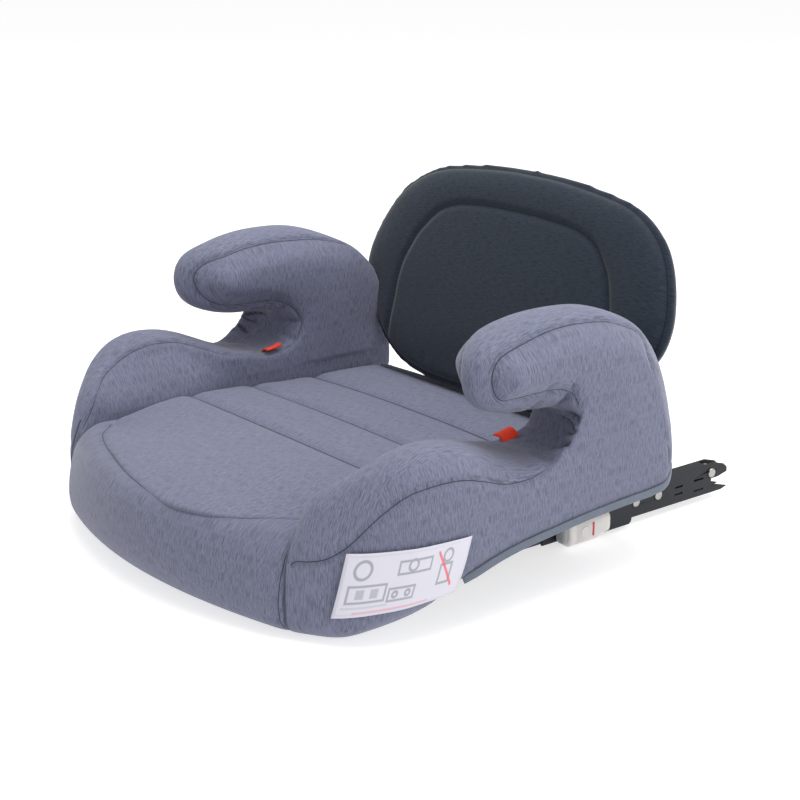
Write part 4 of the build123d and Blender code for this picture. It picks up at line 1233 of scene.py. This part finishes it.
def make_button(material, side):
    """Oval grey press button with upright ribs on its front face."""
    low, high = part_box(f"release_button_{side}")
    cx, cz = (low.x + high.x) / 2, (low.z + high.z) / 2
    hx, hz = (high.x - low.x) / 2 - 0.1 * MM, (high.z - low.z) / 2 - 0.1 * MM
    bm = bmesh.new()
    barrel(bm, [
        (low.y, hx - 1.4 * MM, hz - 1.4 * MM, cx, cz), (low.y + 0.5 * MM, hx - 0.5 * MM, hz - 0.5 * MM, cx, cz),
        (low.y + 1.6 * MM, hx, hz, cx, cz), (high.y, hx, hz, cx, cz),
    ])
    for rib in range(4):
        made = bmesh.ops.create_cube(bm, size=1.0)
        for vert in made["verts"]:
            x, y, z = vert.co * MM
            vert.co = (cx + (rib - 1.5) * 2.1 * MM + x * 0.8, low.y - 0.1 * MM + y * 0.9, cz + z * 8.5)
    cap = new_piece(f"release_button_cap_{side}", bm, material, "button_grey", smooth=False)
    round_edges(cap, 0.22 * MM)
    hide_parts(f"release_button_{side}")
    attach(cap, f"button_{side}")
    return cap


def finish_node(name, material, edge=0.0):
    """Gives a CAD node its material and, if asked, small round edges."""
    node = frame["nodes"][name]
    node.data.materials.clear()
    node.data.materials.append(material)
    if edge:
        weld = node.modifiers.new("weld", "WELD")
        weld.merge_threshold = 0.00001
        round_edges(node, edge)


# ---- operators ---------------------------------------------------------------------------------------------
def knit(two_ways=False):
    """The light heather knit, made once for flat panels and once for the armrests."""
    name = "heather_knit_armrest" if two_ways else "heather_knit"
    found = bpy.data.materials.get(name)
    if found:
        return found
    _, _, colours = settings()
    # The third colour is for the seam lines, partly painted shade in their grooves, and for the painted shade
    # in the armrest fold creases.
    return heather_knit(name, tuple(colours.cover), tuple(colours.cover_dark), (0.014, 0.017, 0.028), 0.2,
                        two_ways=two_ways)


class BOOSTER_OT_armrests(Operator):
    """Padded covers of both armrests"""
    bl_idname = "booster.armrests"
    bl_label = "Armrest covers"

    def execute(self, context):
        right = make_armrest(knit(two_ways=True))
        left = mirrored(right, "armrest_padding_left")
        for piece, side in ((right, "right"), (left, "left")):
            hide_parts(f"armrest_cover_{side}")
            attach(piece, "base")
        return {"FINISHED"}


class BOOSTER_OT_seat(Operator):
    """Quilted seat pad and padded front panel"""
    bl_idname = "booster.seat"
    bl_label = "Seat pad and front"

    def execute(self, context):
        for piece, node in ((make_seat_pad(knit()), "seat_pad"), (make_front(knit()), "front_panel")):
            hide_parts(node)
            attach(piece, "base")
        return {"FINISHED"}


class BOOSTER_OT_backrest(Operator):
    """Front cushion and rear pad of the backrest"""
    bl_idname = "booster.backrest"
    bl_label = "Backrest"

    def execute(self, context):
        _, _, colours = settings()
        # Its third colour is for the seam lines, partly painted shade in their grooves.
        dark = heather_knit("dark_heather_knit", tuple(colours.backrest), tuple(colours.backrest_dark),
                            (0.004, 0.005, 0.008), 0.25)
        pieces = ((make_backrest(dark), "backrest_pad"), (make_back_shell(dark), "backrest_rear_cover"))
        for piece, node in pieces:
            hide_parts(node)
            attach(piece, "backrest")
        return {"FINISHED"}


class BOOSTER_OT_trims(Operator):
    """Hem tapes, rear edge tape, belt tabs and the sewn label"""
    bl_idname = "booster.trims"
    bl_label = "Tapes, tabs and label"

    def execute(self, context):
        _, _, colours = settings()
        tape = woven_tape("binding_tape", tuple(colours.tape))
        webbing = woven_tape("bright_webbing", tuple(colours.tab), 1300.0)
        for maker, material, node in ((make_hem, tape, "hem_binding"), (make_tab, webbing, "belt_tab")):
            right = maker(material)
            left = mirrored(right, right.name.replace("right", "left"))
            if maker is make_tab:
                round_edges(left, 0.4 * MM, 2)
            for piece, side in ((right, "right"), (left, "left")):
                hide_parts(f"{node}_{side}")
                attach(piece, "base")
        rear = make_rear_tape(tape)
        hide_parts("rear_binding")
        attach(rear, "base")
        label = make_label(label_cloth())
        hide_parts("side_label")
        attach(label, "base")
        return {"FINISHED"}


class BOOSTER_OT_releases(Operator):
    """White release housings with their buttons"""
    bl_idname = "booster.releases"
    bl_label = "Release housings"

    def execute(self, context):
        white = moulded_plastic("off_white_plastic", (0.72, 0.69, 0.67), 0.38, 1200.0, 0.06, 0.15)
        red = moulded_plastic("red_indicator", (0.55, 0.008, 0.02), 0.3, 1500.0, 0.03, 0.3)
        grey = moulded_plastic("grey_button", (0.36, 0.365, 0.38), 0.42, 1200.0, 0.08)
        for side, sign in SIDES:
            make_housing(white, red, sign, side)
            make_button(grey, side)
            finish_node(f"indicator_flag_{side}", red)
        finish_node("adjuster_handle", grey, 0.0006)
        return {"FINISHED"}


class BOOSTER_OT_frame(Operator):
    """Finishes of the steel and moulded frame parts"""
    bl_idname = "booster.frame"
    bl_label = "Frame finishes"

    def execute(self, context):
        charcoal = moulded_plastic("charcoal_plastic", (0.028, 0.033, 0.042), 0.5, 800.0, 0.2)
        board = moulded_plastic("board_plastic", (0.02, 0.02, 0.024), 0.55, 700.0, 0.2)
        paint_finish = painted_steel()
        bright = bare_steel("bright_rivet_steel", (0.40, 0.39, 0.38), 0.24)
        zinc = bare_steel("zinc_plate", (0.62, 0.63, 0.62), 0.33)
        latch = bare_steel("latch_steel", (0.45, 0.45, 0.44), 0.36)
        spring = bare_steel("spring_wire", (0.55, 0.55, 0.55), 0.25)
        yellow = moulded_plastic("yellow_green_plastic", (0.45, 0.52, 0.16), 0.4)
        foam = open_foam()
        finishes = {
            "moulded_charcoal": (charcoal, 0.0005), "zinc_screw": (zinc, 0.0002), "rivet_steel": (bright, 0.0),
            "foam": (foam, 0.0), "painted_steel": (paint_finish, 0.0004), "latch_steel": (latch, 0.0003),
            "trigger_yellow": (yellow, 0.0003), "spring_steel": (spring, 0.0), "board_plastic": (board, 0.0),
        }
        for part in frame["record"]["subparts"]:
            if part["material_slot"] in finishes:
                material, edge = finishes[part["material_slot"]]
                finish_node(part["node"], material, edge)
        return {"FINISHED"}


class BOOSTER_OT_stage(Operator):
    """Pale floor, soft lights and the camera"""
    bl_idname = "booster.stage"
    bl_label = "Stage"

    def execute(self, context):
        stage = context.scene.booster_stage
        bm = bmesh.new()
        bmesh.ops.create_grid(bm, x_segments=1, y_segments=1, size=40.0)
        mesh = bpy.data.meshes.new("floor")
        bm.to_mesh(mesh)
        bm.free()
        floor = bpy.data.objects.new("floor", mesh)
        context.scene.collection.objects.link(floor)
        pale = Finish("pale_floor", Roughness=0.9, Base_Color=(0.54, 0.54, 0.545), Specular_IOR_Level=0.0,
                      Emission_Color=(1, 1, 1), Emission_Strength=0.66)
        mesh.materials.append(pale.material)
        for name, place, size, energy in (
            ("top_light", (0.2, 0.2, 2.2), 1.5, 44), ("fill_light", (-1.8, -0.9, 1.3), 1.8, 2),
            ("rim_light", (0.8, 1.8, 1.5), 1.4, 12), ("side_light", (2.2, 0.3, 1.0), 1.3, 13),
        ):
            light = bpy.data.lights.new(name, "AREA")
            light.energy = energy
            light.size = size
            lamp = bpy.data.objects.new(name, light)
            lamp.location = place
            aim = Vector((0, 0.05, 0.1)) - Vector(place)
            lamp.rotation_euler = aim.to_track_quat("-Z", "Y").to_euler()
            context.scene.collection.objects.link(lamp)
        world = bpy.data.worlds.new("studio")
        world.use_nodes = True
        tree = world.node_tree
        tree.nodes["Background"].inputs[1].default_value = 0.55
        backdrop = tree.nodes.new("ShaderNodeBackground")
        backdrop.inputs[1].default_value = 1.0
        seen = tree.nodes.new("ShaderNodeLightPath")
        choice = tree.nodes.new("ShaderNodeMixShader")
        tree.links.new(seen.outputs["Is Camera Ray"], choice.inputs[0])
        tree.links.new(tree.nodes["Background"].outputs[0], choice.inputs[1])
        tree.links.new(backdrop.outputs[0], choice.inputs[2])
        tree.links.new(choice.outputs[0], tree.nodes["World Output"].inputs[0])
        for node in (tree.nodes["Background"], backdrop):
            node.inputs[0].default_value = (1.0, 1.0, 1.0, 1)
        context.scene.world = world
        camera = bpy.data.cameras.new("camera")
        camera.lens = stage.lens
        camera.sensor_width = 36
        eye = bpy.data.objects.new("camera", camera)
        eye.location = stage.place
        back = Vector((math.sin(stage.azimuth) * math.cos(stage.elevation),
                       -math.cos(stage.azimuth) * math.cos(stage.elevation), math.sin(stage.elevation)))
        eye.rotation_euler = back.to_track_quat("Z", "Y").to_euler()
        context.scene.collection.objects.link(eye)
        context.scene.camera = eye
        context.scene.view_settings.view_transform = "Standard"
        return {"FINISHED"}


class BOOSTER_PT_panel(Panel):
    bl_idname = "BOOSTER_PT_panel"
    bl_label = "Booster seat"
    bl_space_type = "VIEW_3D"
    bl_region_type = "UI"
    bl_category = "Booster"

    def draw(self, context):
        for group in ("booster_padding", "booster_seams", "booster_colours", "booster_stage"):
            box = self.layout.box()
            values = getattr(context.scene, group)
            for name in values.__annotations__:
                box.prop(values, name)
        for operator in STEPS:
            self.layout.operator(operator.bl_idname)


STEPS = (BOOSTER_OT_stage, BOOSTER_OT_armrests, BOOSTER_OT_seat, BOOSTER_OT_backrest, BOOSTER_OT_trims,
         BOOSTER_OT_releases, BOOSTER_OT_frame)
GROUPS = {"booster_padding": BoosterPadding, "booster_seams": BoosterSeams,
          "booster_colours": BoosterColours, "booster_stage": BoosterStage}


def register():
    for name, group in GROUPS.items():
        bpy.utils.register_class(group)
        setattr(bpy.types.Scene, name, PointerProperty(type=group))
    for operator in STEPS:
        bpy.utils.register_class(operator)
    bpy.utils.register_class(BOOSTER_PT_panel)


def unregister():
    bpy.utils.unregister_class(BOOSTER_PT_panel)
    for operator in STEPS:
        bpy.utils.unregister_class(operator)
    for name, group in GROUPS.items():
        delattr(bpy.types.Scene, name)
        bpy.utils.unregister_class(group)


def main():
    register()
    for operator in STEPS:
        group, name = operator.bl_idname.split(".")
        getattr(getattr(bpy.ops, group), name)()
    bpy.context.view_layer.update()


if __name__ == "__main__":
    main()
